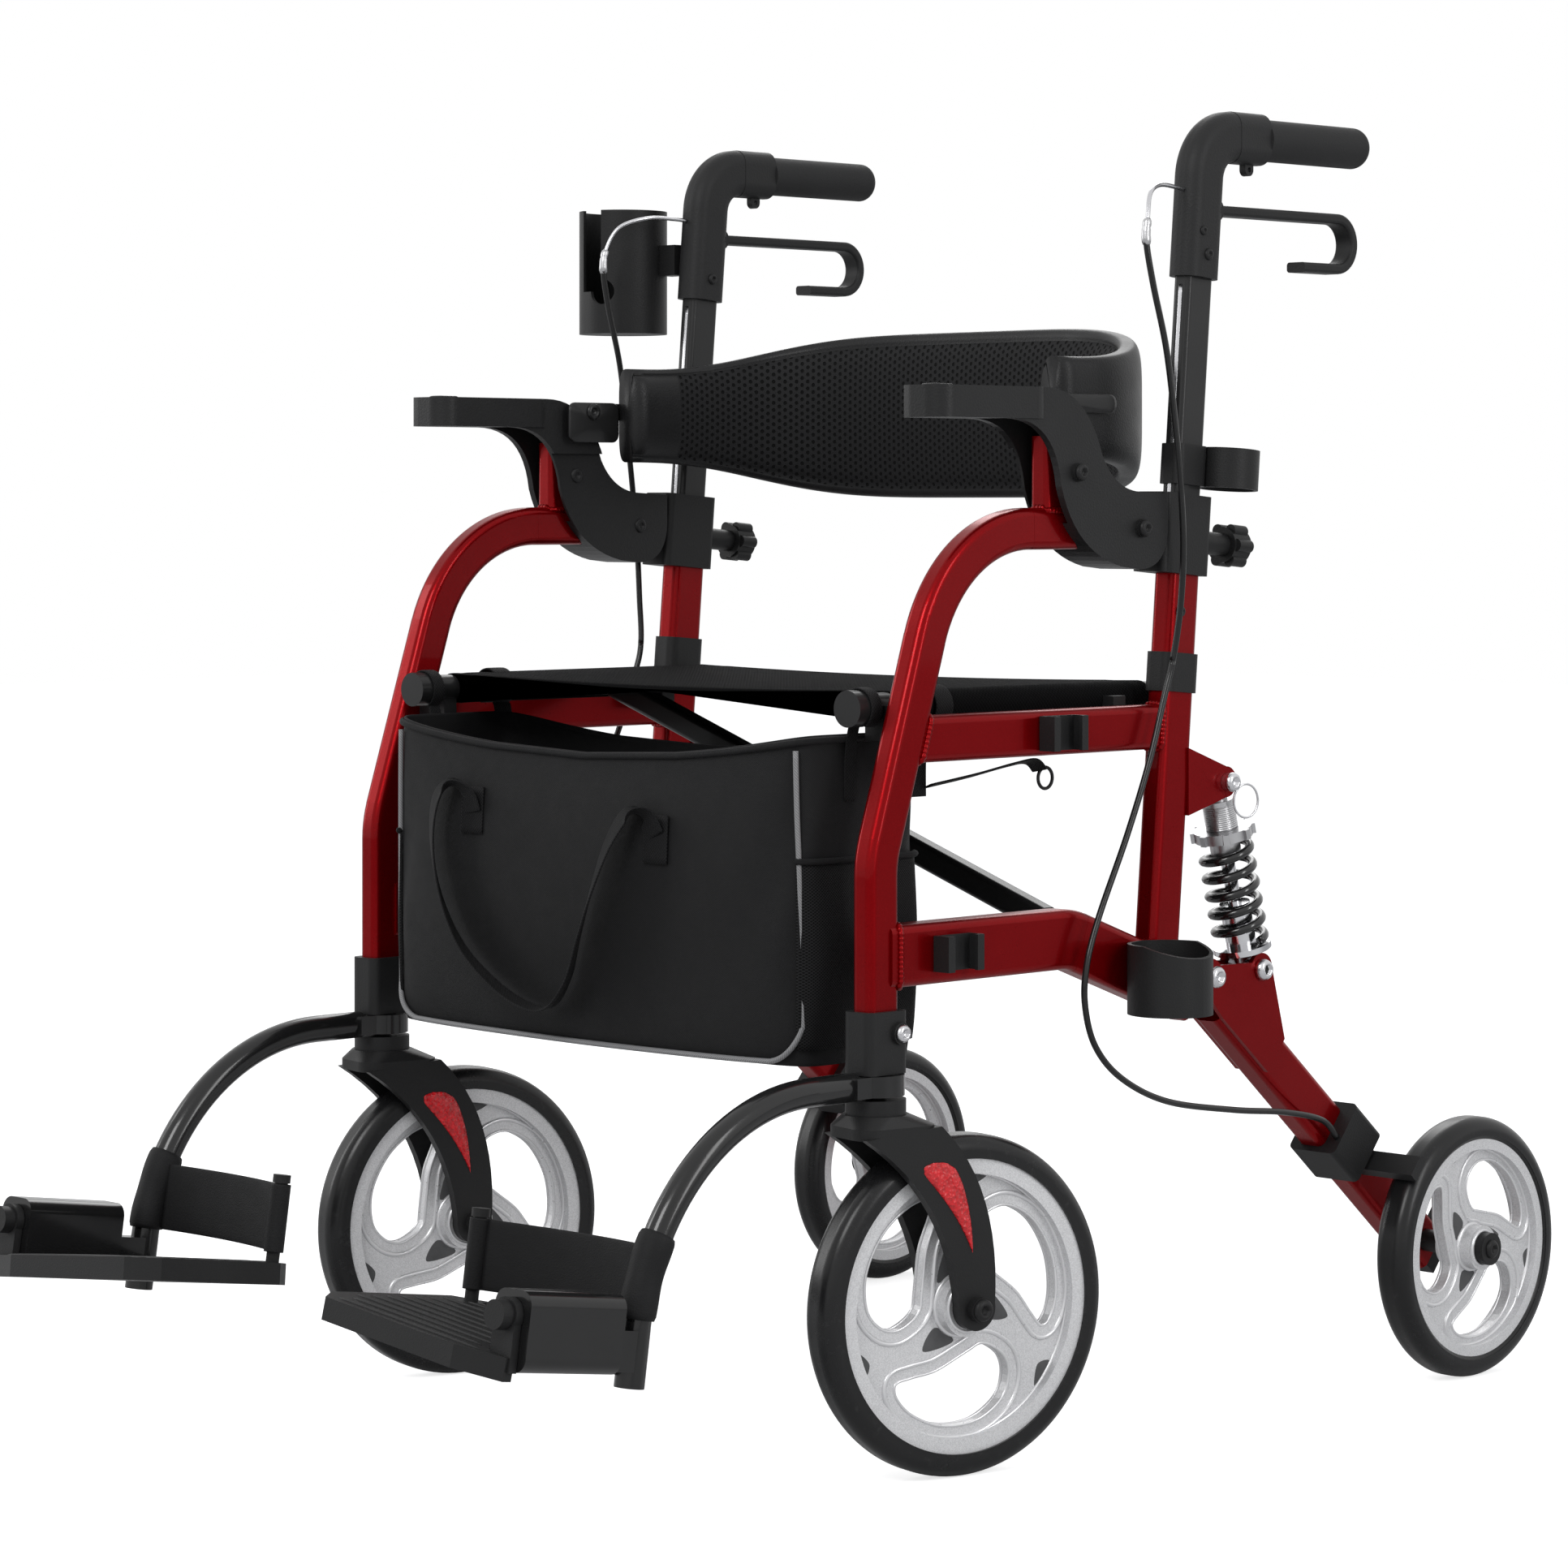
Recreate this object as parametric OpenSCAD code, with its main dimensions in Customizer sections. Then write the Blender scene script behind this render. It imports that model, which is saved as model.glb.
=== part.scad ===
// Rollator transport chair: a folding walker with a seat, a turning back and two footrests.
// Millimetres. +Z is up, -Y is the way a seated person faces, +X is that chair's near side in the picture.
// Side pieces are drawn round the plane of one side frame and mirrored for the other side.

/* [Side frames] */
// Distance between the two side frames, tube centre to tube centre
track_w = 550; // [510:5:600]
// Width of the frame tube across the chair
tube_w = 20; // [18:1:22]
// Depth of the front tube along the chair
tube_d = 31; // [28:1:34]
// Corner radius of the frame tubes
tube_r = 6; // [3:0.5:8]
// Height of the lower end of the front tube
stem_z = 300; // [292:1:310]
// Height of the knee where the front tube starts to lean back
knee_z = 449; // [430:1:470]
// Lean of the front tube above the knee
front_lean = 18; // [12:0.5:22]
// Bend radius of the knee
knee_r = 80; // [60:5:120]
// Height of the top tube under the armrest
top_z = 686; // [670:1:700]
// Bend radius of the shoulder where the front tube turns to the top tube
shoulder_r = 115; // [90:5:130]
// Place of the rear end of the top tube
top_end_y = 285; // [275:1:292]
// Height of the red stub that carries the armrest
stub_top_z = 755; // [745:1:760]
// Place of the stub along the top tube
stub_y = 187; // [180:1:195]
// Depth of the stub along the chair
stub_d = 24; // [20:1:28]

/* [Rear posts and rails] */
// Width of the rear post across the chair
post_w = 21; // [20:0.5:24]
// Depth of the rear post along the chair
post_d = 34; // [32:1:38]
// Wall of the rear post
post_wall = 2; // [1.5:0.25:2.5]
// Backward lean of the rear post
post_lean = 4.9; // [3:0.1:7]
// Place of the rear post at its foot
post_y = 311; // [300:1:320]
// Height of the rear post's foot on the lower rail
post_z = 369; // [360:1:380]
// Height of the top of the red post inside the clamp
post_top_z = 690; // [680:1:700]
// Height of the middle of the upper rail
upper_rail_z = 534; // [524:1:540]
// Height of the upper rail's section
upper_rail_h = 34; // [28:1:40]
// Height of the middle of the lower rail
lower_rail_z = 379; // [372:1:386]
// Height of the lower rail's section
lower_rail_h = 45; // [38:1:50]
// Width of the lower rail across the chair
lower_rail_w = 24; // [22:1:24]
// Place where the lower rail bends down
rail_bend_y = 203; // [190:1:215]
// Downward slope of the lower rail behind its bend
rail_drop = 20; // [14:0.5:24]
// Place of the open rear end of the lower rail
rail_end_y = 343; // [340:1:346]

/* [Casters] */
// Diameter of a front wheel
front_d = 248; // [230:1:254]
// Width of a front tyre
front_w = 31; // [26:1:36]
// Distance of the caster axle behind its stem
caster_trail = 70; // [60:1:74]
// Turn of both casters at rest
caster_turn = -12; // [-30:1:30]
// Thickness of a fork leg
fork_leg_t = 8.5; // [7:0.5:11]
// Clearance between a fork leg and the tyre
fork_gap = 3.5; // [2:0.5:6]
// Radius of the caster stem
stem_r = 7; // [6:0.5:8]

/* [Rear wheels and suspension] */
// Diameter of a rear wheel
rear_d = 209; // [195:1:215]
// Width of a rear tyre
rear_w = 30; // [26:1:34]
// Place of the rear axle
axle_y = 635; // [620:1:650]
// Distance of the wheel's middle plane outside the side frame
wheel_out = 52; // [50:1:60]
// Place of the swing arm's pivot
pivot_y = 356; // [354:1:360]
// Height of the swing arm's pivot
pivot_z = 340; // [336:1:344]
// Width of the swing arm across the chair
arm_w = 25; // [25:0.5:30]
// Height of the swing arm's section
arm_h = 38; // [32:1:42]
// Place of the upper shock pin
shock_top_y = 380; // [376:1:386]
// Height of the upper shock pin
shock_top_z = 489; // [480:1:498]
// Distance of the lower shock bolt behind the pivot
shock_foot_back = 62; // [58:1:66]
// Mean radius of the spring
spring_r = 19; // [17:0.5:21]
// Radius of the spring wire
wire_r = 3.5; // [2.5:0.25:4]
// Number of curls of the spring
spring_turns = 5.5; // [4:0.5:7]
// Radius of the axles
axle_r = 5; // [4:0.5:6]
// Travel of the brake shoe before it meets the tread
shoe_gap = 3.4; // [3.3:0.1:6]

/* [Handles] */
// Height of the hand grip's axis
grip_z = 990; // [970:1:1010]
// Radius of the hand grip
grip_r = 16.5; // [14:0.5:18]
// Length of the hand grip
grip_len = 128; // [110:1:140]
// Width of the handle shell
shell_w = 28; // [26:1:32]
// Depth of the handle shell
shell_d = 40; // [38:1:44]
// Bend radius of the handle shell
shell_bend_r = 36; // [30:1:40]
// Height of the handle shell below the grip's axis
shell_drop = 111; // [105:1:116]
// Place of the brake lever's pin
lever_y = 372; // [370:1:374]
// Height of the grip's axis above the brake lever's pin
lever_drop = 58; // [54:1:62]
// Reach of the brake lever behind its pin
lever_reach = 174; // [160:1:180]
// Width of the brake lever
lever_w = 18; // [14:1:20]
// Thickness of the brake lever
lever_t = 8; // [6:0.5:10]
// Radius of the lever's hooked end
hook_r = 20; // [16:1:22]
// Radius of the lanyard eye under the shell
eye_r = 2; // [1.5:0.25:2.5]

/* [Armrests and back] */
// Height of the top of the armrest pad
arm_top_z = 791; // [784:0.5:796]
// Thickness of the armrest pad
arm_pad_t = 23.5; // [19:0.5:27]
// Width of the armrest pad
arm_pad_w = 46; // [42:1:46]
// Width of the armrest's sloping arm
arm_rest_w = 43; // [38:1:44]
// Place of the front end of the armrest pad
arm_front_y = 44; // [36:1:50]
// Place of the back's pivot bolts
back_pivot_y = 196; // [190:1:200]
// Height of the back's pivot bolts
back_pivot_z = 781; // [776:1:785]
// Reach of the back behind its pivot bolts
back_reach = 224; // [200:1:240]
// Height of the back pad at its middle
back_mid_h = 137; // [110:1:150]
// Height of the back pad at its ends
back_end_h = 78; // [60:1:90]
// Thickness of the back pad
back_t = 22; // [16:1:28]

/* [Seat and fold] */
// Radius of the seat tubes
seat_tube_r = 11; // [9:0.5:12]
// Height of the seat tubes
seat_z = 556; // [550:1:562]
// Sag of the seat cloth at its middle
seat_sag = 5; // [2:1:16]
// Thickness of the seat cloth
seat_t = 2; // [1.5:0.25:3]
// Height of the fold's lower pivots
fold_z = 385; // [380:1:390]
// Place of the fold's middle plane
fold_y = 212; // [200:1:225]
// Thickness of a fold bar along the chair
fold_bar_t = 16; // [12:1:18]
// Height of a fold bar's section
fold_bar_h = 20; // [16:1:22]

/* [Bag] */
// Width of the bag
bag_w = 460; // [420:5:465]
// Depth of the bag
bag_d = 140; // [120:5:150]
// Height of the bag
bag_h = 242; // [200:2:250]
// Place of the bag's front face
bag_front_y = -35; // [-40:1:-25]
// Thickness of the bag's walls
bag_wall = 3; // [2:0.5:5]

/* [Footrests] */
// Radius of the footrest tube
hanger_r = 10.5; // [9:0.5:11]
// Bend radius of the footrest tube
hanger_bend_r = 170; // [160:1:180]
// Length of the straight start of the footrest tube
hanger_start = 44; // [38:1:50]
// Angle by which the footrest's block and plate rise to the front
foot_pitch = 8.5; // [6:0.5:11]
// Length of the footrest plate across the chair
plate_len = 194; // [180:1:200]
// Depth of the footrest plate along the chair
plate_depth = 150; // [140:1:160]
// Thickness of the footrest plate
plate_t = 16; // [12:0.5:18]
// Upward tilt of the plate's inner edge
plate_tilt = 6; // [3:0.5:9]
// Height of the plate's flip axis
flip_z = 160; // [155:1:164]
// Height of the heel post above the plate
heel_post_h = 62; // [50:1:70]

/* [Holders] */
// Diameter of the cup holder
cup_d = 76; // [70:1:84]
// Height of the cup holder
cup_h = 106; // [90:1:115]
// Diameter of the cane cup
cane_d = 65; // [55:1:70]
// Wall of both cups
cup_wall = 3; // [2:0.5:4]

/* [Hidden] */

right = 1;
left = -1;
$fn = 64;

// Clearances
run_gap = 0.05;    // round running fits
slide_gap = 0.3;   // between pieces that move past each other
bush_gap = 0.4;    // soft bush in the lower shock eye
seat_gap = 0.1;    // between pieces that are fastened together

// Paints and mouldings
red = "#9e0b12";
black = "#1b1b1d";
silver = "#c9cacc";
cloth = "#161618";

frame_x = track_w / 2;
rear_r = rear_d / 2;
front_r = front_d / 2;
axle_z = rear_r;
plate_front_y = -380;
flip_x = 5;

// The origin lies on the floor under the middle of the whole box
cup_out = 70;
hub_half = 17;
cap_t = 8;
right_reach = max(frame_x + wheel_out + hub_half + cap_t + 0.5, frame_x + lower_rail_w / 2 + cane_d);
left_reach = frame_x + cup_out + cup_d / 2;
shift_x = (left_reach - right_reach) / 2;
shift_y = -(plate_front_y + axle_y + rear_r) / 2;

// Front tube, bent twice in its own plane
shoulder_y = (top_z - knee_z) * tan(front_lean);
knee_cut = knee_r * tan(front_lean / 2);
shoulder_cut = shoulder_r * tan((90 - front_lean) / 2);
lean_len = (top_z - knee_z) / cos(front_lean);
front_steps = [
  [knee_z - stem_z - knee_cut, front_lean, knee_r],
  [lean_len - knee_cut - shoulder_cut, 90 - front_lean, shoulder_r],
  [top_end_y - shoulder_y - shoulder_cut, 0, 0]];

// Lower rail, bent once
rail_start_y = 5;
rail_bend_r = 60;
rail_cut = rail_bend_r * tan(rail_drop / 2);
rail_steps = [
  [rail_bend_y - rail_start_y - rail_cut, rail_drop, rail_bend_r],
  [(rail_end_y - rail_bend_y) / cos(rail_drop) - rail_cut, 0, 0]];

// Rear post: distances along its axis are measured from its foot
function along_post(z) = (z - post_z) / cos(post_lean);
function post_at(z) = post_y + (z - post_z) * tan(post_lean);
post_len = along_post(post_top_z);
inner_w = post_w - 2 * post_wall - 2 * slide_gap;
inner_d = post_d - 2 * post_wall - 2 * slide_gap;
inner_r = tube_r - post_wall;
inner_foot = along_post(562);
inner_top = along_post(grip_z - 84);
bore_foot = along_post(440);

// Swing arm: distances along its axis are measured from the pivot
arm_angle = atan2(pivot_z - axle_z, axle_y - pivot_y);
arm_len = norm([axle_y - pivot_y, pivot_z - axle_z]);
function on_arm(t, n) = [pivot_y + t * cos(arm_angle) + n * sin(arm_angle),
  pivot_z - t * sin(arm_angle) + n * cos(arm_angle)];
arm_start = 34;
cheek_t = 4;
pin_r = 4;

// Shock: its own axis runs from the lower bolt to the upper pin
shock_foot_y = pivot_y + shock_foot_back;
shock_foot_z = pivot_z + 1;
shock_len = norm([shock_top_y - shock_foot_y, shock_top_z - shock_foot_z]);
shock_tilt = atan2(shock_foot_y - shock_top_y, shock_top_z - shock_foot_z);
eye_w = 16;
eye_out = 10;
seat_low = 20;
seat_high = shock_len - 46;

// Spring: one wire, worked out point by point along its curls
spring_rise = seat_high - seat_low - 2 * wire_r - 0.2;
curl_rings = 8;
wire_sides = 6;
spring_n = spring_turns * curl_rings;
spring_line = [for (i = [0 : spring_n]) let (a = 360 * i / curl_rings)
  [spring_r * cos(a), spring_r * sin(a), seat_low + wire_r + 0.1 + spring_rise * i / spring_n]];
spring_least_gap = min([for (i = [0 : spring_n - curl_rings + 2], j = [i + curl_rings - 2 : spring_n])
  norm(spring_line[i] - spring_line[j])]) - 2 * wire_r;
echo("least gap between the curls of the spring", spring_least_gap);

// Handle
shell_foot_z = grip_z - shell_drop;
lever_z = grip_z - lever_drop;
bend_z = grip_z - shell_bend_r * (1 - sin(post_lean));
shell_start = along_post(shell_foot_z);
shell_straight = along_post(bend_z) - shell_start;
seam_y = post_at(bend_z) + shell_bend_r * cos(post_lean) + 36;

// Fold: two crossed bars, each with one seat tube at its upper end
fold_x = frame_x - lower_rail_w / 2 - 8;
seat_x = frame_x - tube_w / 2 - seat_tube_r - 11.5;
fold_mid_z = fold_z + (seat_z - fold_z) * fold_x / (fold_x + seat_x);
seat_front_y = 12;
seat_back_y = 338;
cloth_front_y = 45;
cloth_back_y = 328;
saddle_y = 272;

// Footrest tube
hanger_z = 288;
hanger_y = -24;
hanger_low = 40;
foot_y = hanger_y - hanger_start - hanger_bend_r;
foot_z = hanger_z - hanger_bend_r;

// Brake cable: points chosen by hand, given from the plane of the side frame
cable_r = 2.5;
cable_sides = 8;
cable_points = [
  [2, 339.8, 947], [4, 328, 948], [10, 303, 948], [20, 280, 940], [26, 270, 922], [27, 267, 903],
  [28, 274, 870], [29, 288, 822], [30, 297, 767], [30, 304, 715], [29, 308, 670], [26, 308, 625],
  [21, 305, 585], [20, 296, 557], [21, 277, 508], [23, 249, 454], [25, 215, 396], [26, 200, 361],
  [26, 198, 331], [26, 210, 299], [25, 242, 272], [24, 296, 250], [23, 376, 236], [22, 440, 228],
  [21, 488, 217], [21, 506, 202]];

// Helpers

function bez(p, c, q, n = 12) = [for (i = [0 : n]) let (t = i / n)
  (1 - t) * (1 - t) * p + 2 * t * (1 - t) * c + t * t * q];

function unit(v) = v / norm(v);

// A smooth line through the points, with the given number of steps between two of them
function through(p, steps) = concat([for (i = [0 : len(p) - 2], s = [0 : steps - 1]) let (
  t = s / steps,
  a = p[max(i - 1, 0)],
  b = p[i],
  c = p[i + 1],
  d = p[min(i + 2, len(p) - 1)])
  0.5 * (2 * b + (c - a) * t + (2 * a - 5 * b + 4 * c - d) * t * t + (3 * b - a - 3 * c + d) * t * t * t)],
  [p[len(p) - 1]]);

// Rings of a round tube along a line
function tube_rings(line, r, sides, side_way) = [for (i = [0 : len(line) - 1]) let (
  t = unit(line[min(i + 1, len(line) - 1)] - line[max(i - 1, 0)]),
  n1 = unit(cross(t, side_way)),
  n2 = cross(t, n1))
  [for (j = [0 : sides - 1]) line[i] + r * (cos(360 * j / sides) * n1 + sin(360 * j / sides) * n2)]];

function middle(ring, i = 0) = i == len(ring) - 1 ? ring[i] / len(ring) : ring[i] / len(ring) + middle(ring, i + 1);

// A closed skin over rings of the same number of points
module loft(rings) {
  n = len(rings);
  k = len(rings[0]);
  points = concat([for (r = rings) each r], [middle(rings[0]), middle(rings[n - 1])]);
  walls = [for (i = [0 : n - 2], j = [0 : k - 1]) each [
    [i * k + j, (i + 1) * k + j, i * k + (j + 1) % k],
    [i * k + (j + 1) % k, (i + 1) * k + j, (i + 1) * k + (j + 1) % k]]];
  first = [for (j = [0 : k - 1]) [n * k, j, (j + 1) % k]];
  last = [for (j = [0 : k - 1]) [n * k + 1, (n - 1) * k + (j + 1) % k, (n - 1) * k + j]];
  polyhedron(points, concat(walls, first, last));
}

// A rectangle with round corners, or a circle where the corners meet
module section(w, h, r) {
  if (r >= w / 2) {
    circle(w / 2);
  } else {
    square([w - 2 * r, h], center = true);
    square([w, h - 2 * r], center = true);
    for (x = [-1, 1], y = [-1, 1]) translate([x * (w / 2 - r), y * (h / 2 - r)]) circle(r);
  }
}

// One bend of a tube that runs up, turning towards +Y, or towards -Y for a negative turn
module bend(turn, bend_r, w, h, r) {
  mirror([0, turn < 0 ? 1 : 0, 0])
    translate([0, bend_r, 0]) rotate([90, 0, -90])
      rotate_extrude(angle = abs(turn), $fn = 96) translate([bend_r, 0]) section(h, w, r);
}

// A bent tube: each step is a straight length, a turn and the turn's radius
// A straight that follows a bend laps over the bend's end and is a hair larger, so that the two join
lap = 1;
lap_step = 0.1;
module tube_run(steps, w, h, r, i = 0) {
  if (i < len(steps)) {
    turn = steps[i][1];
    bend_r = steps[i][2];
    if (i == 0) linear_extrude(steps[i][0]) section(w, h, r);
    else translate([0, 0, -lap]) linear_extrude(steps[i][0] + lap)
      section(w + 2 * lap_step, h + 2 * lap_step, r + lap_step);
    translate([0, 0, steps[i][0]]) {
      if (turn != 0) bend(turn, bend_r, w, h, r);
      translate([0, sign(turn) * bend_r * (1 - cos(turn)), bend_r * sin(abs(turn))])
        rotate([-turn, 0, 0]) tube_run(steps, w, h, r, i + 1);
    }
  }
}

// A flat shape drawn along the chair (Y, Z), given a thickness across it from x
module plate_at(x, t) {
  translate([x, 0, 0]) rotate([90, 0, 90]) linear_extrude(t) children();
}

// A round bar across the chair
module cross_pin(y, z, r, x1, x2) {
  translate([x1, y, z]) rotate([0, 90, 0]) cylinder(r = r, h = x2 - x1);
}

// A round bar along the chair
module long_pin(x, z, r, y1, y2) {
  translate([x, y1, z]) rotate([-90, 0, 0]) cylinder(r = r, h = y2 - y1);
}

// Puts a piece that is drawn round the side frame's plane on its side of the chair
module at_side(s) {
  translate([shift_x, shift_y, 0])
    mirror([s < 0 ? 1 : 0, 0, 0]) translate([frame_x, 0, 0]) children();
}

// Puts a piece that is drawn round the middle plane in its place
module at_middle() {
  translate([shift_x, shift_y, 0]) children();
}

module on_post() {
  translate([0, post_y, post_z]) rotate([-post_lean, 0, 0]) children();
}

module along_arm() {
  translate([0, pivot_y, pivot_z]) rotate([-90 - arm_angle, 0, 0]) children();
}

module along_shock() {
  translate([0, shock_foot_y, shock_foot_z]) rotate([shock_tilt, 0, 0]) children();
}

// A caster turns with its wheel, so it isn't mirrored
module at_caster(s) {
  translate([shift_x + s * frame_x, shift_y, 0]) rotate(caster_turn) children();
}

// Side frame

module front_tube(grow = 0) {
  translate([0, 0, stem_z]) tube_run(front_steps, tube_w + 2 * grow, tube_d + 2 * grow, tube_r + grow);
}

module stub(grow = 0) {
  translate([0, stub_y, top_z]) linear_extrude(stub_top_z - top_z)
    section(tube_w - 2 + 2 * grow, stub_d + 2 * grow, tube_r - 1.5 + grow);
}

lug_t = 5;
lug_clear = 2 * fold_bar_t + 1;

module fold_lugs() {
  for (y = [fold_y - lug_clear / 2 - lug_t, fold_y + lug_clear / 2])
    translate([fold_x - frame_x - 7, y, fold_z - 11]) cube([frame_x - fold_x - 1.3, lug_t, 22]);
}

module shock_bracket() {
  for (x = [-eye_w / 2 - slide_gap - cheek_t, eye_w / 2 + slide_gap]) plate_at(x, cheek_t) {
    polygon([[post_at(shock_top_z) + post_d / 2 - 4, shock_top_z - 24],
      [post_at(shock_top_z) + post_d / 2 - 4, shock_top_z + 28],
      [shock_top_y, shock_top_z + 12], [shock_top_y, shock_top_z - 12]]);
    translate([shock_top_y, shock_top_z]) circle(12);
  }
}

module side_frame(s) {
  color(red) at_side(s) difference() {
    union() {
      front_tube();
      stub();
      on_post() translate([0, 0, -20]) linear_extrude(post_len + 20) section(post_w, post_d, tube_r);
      translate([0, shoulder_y * 0.4, upper_rail_z]) rotate([-90, 0, 0])
        linear_extrude(post_at(upper_rail_z) - shoulder_y * 0.4) section(tube_w - 1, upper_rail_h, tube_r);
      translate([0, rail_start_y, lower_rail_z]) rotate([-90, 0, 0])
        tube_run(rail_steps, lower_rail_w, lower_rail_h, tube_r);
      cross_pin(pivot_y, pivot_z, 14, 0.6 - lower_rail_w / 2, lower_rail_w / 2 - 0.6);
      shock_bracket();
      fold_lugs();
    }
    on_post() translate([0, 0, bore_foot]) linear_extrude(post_len)
      section(post_w - 2 * post_wall, post_d - 2 * post_wall, tube_r - post_wall);
    translate([0, 0, stem_z - 1]) cylinder(r = stem_r + run_gap, h = 44);
    cross_pin(pivot_y, pivot_z, pin_r + run_gap, -20, 20);
    cross_pin(shock_top_y, shock_top_z, pin_r + run_gap, -20, 20);
    long_pin(fold_x - frame_x, fold_z, pin_r + run_gap, fold_y - 40, fold_y + 40);
  }
}

collar_w = tube_w + 10;
collar_d = tube_d + 10;
collar_foot_z = stem_z - 4;
spigot_r = 12;

module stem_collar(s) {
  color(black) at_side(s) difference() {
    union() {
      translate([0, 0, collar_foot_z]) linear_extrude(45) section(collar_w, collar_d, tube_r + 2);
      translate([0, 0, collar_foot_z - 16.5]) cylinder(r = spigot_r, h = 17);
      cross_pin(9, stem_z + 25, 8, tube_w / 2, collar_w / 2 + 3);
    }
    translate([0, 0, stem_z]) linear_extrude(60)
      section(tube_w + 2 * seat_gap, tube_d + 2 * seat_gap, tube_r + seat_gap);
    translate([0, 0, collar_foot_z - 20]) cylinder(r = stem_r + run_gap, h = 40);
  }
}

// Casters and wheels

fork_in = front_w / 2 + fork_gap;
fork_out = fork_in + fork_leg_t;
crown_z = front_d + 3;
crown_top_z = collar_foot_z - 18;
fork_eye_r = 16;
leg_front = bez([-26, crown_z + 1], [48, front_r + 81], [caster_trail - 15.5, front_r]);
leg_back = bez([caster_trail + 15.5, front_r], [caster_trail + 22, front_r + 86], [39, crown_z + 7]);

module caster_fork(s) {
  color(black) at_caster(s) {
    difference() {
      union() {
        for (x = [-fork_out, fork_in]) plate_at(x, fork_leg_t) {
          polygon(concat(leg_front, leg_back));
          translate([caster_trail, front_r]) circle(fork_eye_r);
        }
        hull() {
          translate([0, 6, crown_z]) linear_extrude(8) section(2 * fork_out, 68, 16);
          translate([0, 0, crown_top_z - 14]) cylinder(r = 24, h = 3);
        }
        translate([0, 0, crown_z + 5]) cylinder(r = 22, h = crown_top_z - crown_z - 5);
        translate([0, 0, crown_top_z - 1]) cylinder(r = stem_r, h = 62);
      }
      cross_pin(caster_trail, front_r, axle_r + seat_gap, -fork_out - 1, fork_out + 1);
    }
    cross_pin(caster_trail, front_r, axle_r, -fork_out - 6, fork_out + 6);
    for (x = [-fork_out - 7, fork_out + seat_gap])
      cross_pin(caster_trail, front_r, 9, x, x + 7 - seat_gap);
  }
}

// One window between two swirling spokes: a comma that is broad beside a spoke and thins out along the rim.
// Each pair is a share of the rim's radius and an angle, and a smooth closed line goes through them
window_line = [[0.33, 58], [0.42, 48], [0.55, 46], [0.67, 52], [0.765, 63], [0.815, 80], [0.825, 100],
  [0.815, 118], [0.785, 131], [0.72, 137], [0.61, 131], [0.48, 115.5], [0.365, 95], [0.325, 75]];
window_steps = 3;
function window_at(i, r) = let (p = window_line[i % len(window_line)]) r * p[0] * [sin(p[1]), cos(p[1])];
function window(r) = let (n = len(window_line)) [for (i = [0 : n - 1], k = [0 : window_steps - 1]) let (
  a = window_at(i + n - 1, r), b = window_at(i, r), c = window_at(i + 1, r), d = window_at(i + 2, r),
  t = k / window_steps)
  0.5 * (2 * b + (c - a) * t + (2 * a - 5 * b + 4 * c - d) * t * t + (3 * b - a - 3 * c + d) * t * t * t)];

// Wheel drawn round the X axis at the origin
rim_share = 0.86;
module rim(d, w, hub_r, turn) {
  r = d / 2 * rim_share;
  rotate([0, 90, 0]) difference() {
    rotate_extrude($fn = 96) {
      translate([r - 11, -w / 2 + 2]) square([11, w - 4]);
      translate([hub_r - 4, -5]) square([r - 4 - hub_r, 10]);
      translate([axle_r + run_gap, -hub_half]) square([hub_r - axle_r - run_gap, 2 * hub_half]);
    }
    for (k = [0 : 2]) rotate(120 * k + turn) translate([0, 0, -10]) linear_extrude(20)
      polygon(window(r));
  }
}

module tyre(d, w) {
  r = d / 2;
  in_r = r * rim_share;
  round_r = 11;
  rotate([0, 90, 0]) rotate_extrude($fn = 96) {
    translate([in_r, -w / 2]) square([r - round_r - in_r, w]);
    translate([in_r, -w / 2 + round_r]) square([r - in_r, w - 2 * round_r]);
    for (y = [-1, 1]) translate([r - round_r, y * (w / 2 - round_r)]) circle(round_r);
  }
}

module front_rim(s) {
  color(silver) at_caster(s) translate([0, caster_trail, front_r]) rim(front_d, front_w, 22, 0);
}

module front_tyre(s) {
  color(black) at_caster(s) translate([0, caster_trail, front_r]) tyre(front_d, front_w);
}

module rear_rim(s) {
  color(silver) at_side(s) translate([wheel_out, axle_y, axle_z]) rim(rear_d, rear_w, 18, 24);
}

module rear_tyre(s) {
  color(black) at_side(s) translate([wheel_out, axle_y, axle_z]) tyre(rear_d, rear_w);
}

// Suspension

cheek_x = arm_w / 2;
arm_tail = 14;

module swing_arm(s) {
  color(red) at_side(s) difference() {
    union() {
      along_arm() translate([0, 0, arm_start]) linear_extrude(arm_len + arm_tail - arm_start)
        section(arm_w, arm_h, tube_r);
      for (x = [-cheek_x - cheek_t, cheek_x]) plate_at(x, cheek_t) {
        polygon([[pivot_y, pivot_z + 8], [shock_foot_y, shock_foot_z + 6],
          [shock_foot_y + 13, shock_foot_z], on_arm(105, arm_h / 2 - 3), on_arm(105, 3 - arm_h / 2),
          on_arm(arm_start, 3 - arm_h / 2), [pivot_y - 4, pivot_z - 13]]);
        translate([pivot_y, pivot_z]) circle(14);
        translate([shock_foot_y, shock_foot_z]) circle(13);
      }
    }
    cross_pin(pivot_y, pivot_z, pin_r + run_gap, -30, 30);
    cross_pin(shock_foot_y, shock_foot_z, pin_r + run_gap, -30, 30);
    cross_pin(axle_y, axle_z, axle_r + run_gap, -30, 30);
  }
}

// Brake parts sit on the arm ahead of the tread
tread_t = arm_len - rear_r;
shoe_t = tread_t - shoe_gap - 7;
housing_t = shoe_t - 46;
housing_x = arm_w / 2 + seat_gap;
stem_w = 7;

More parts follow.
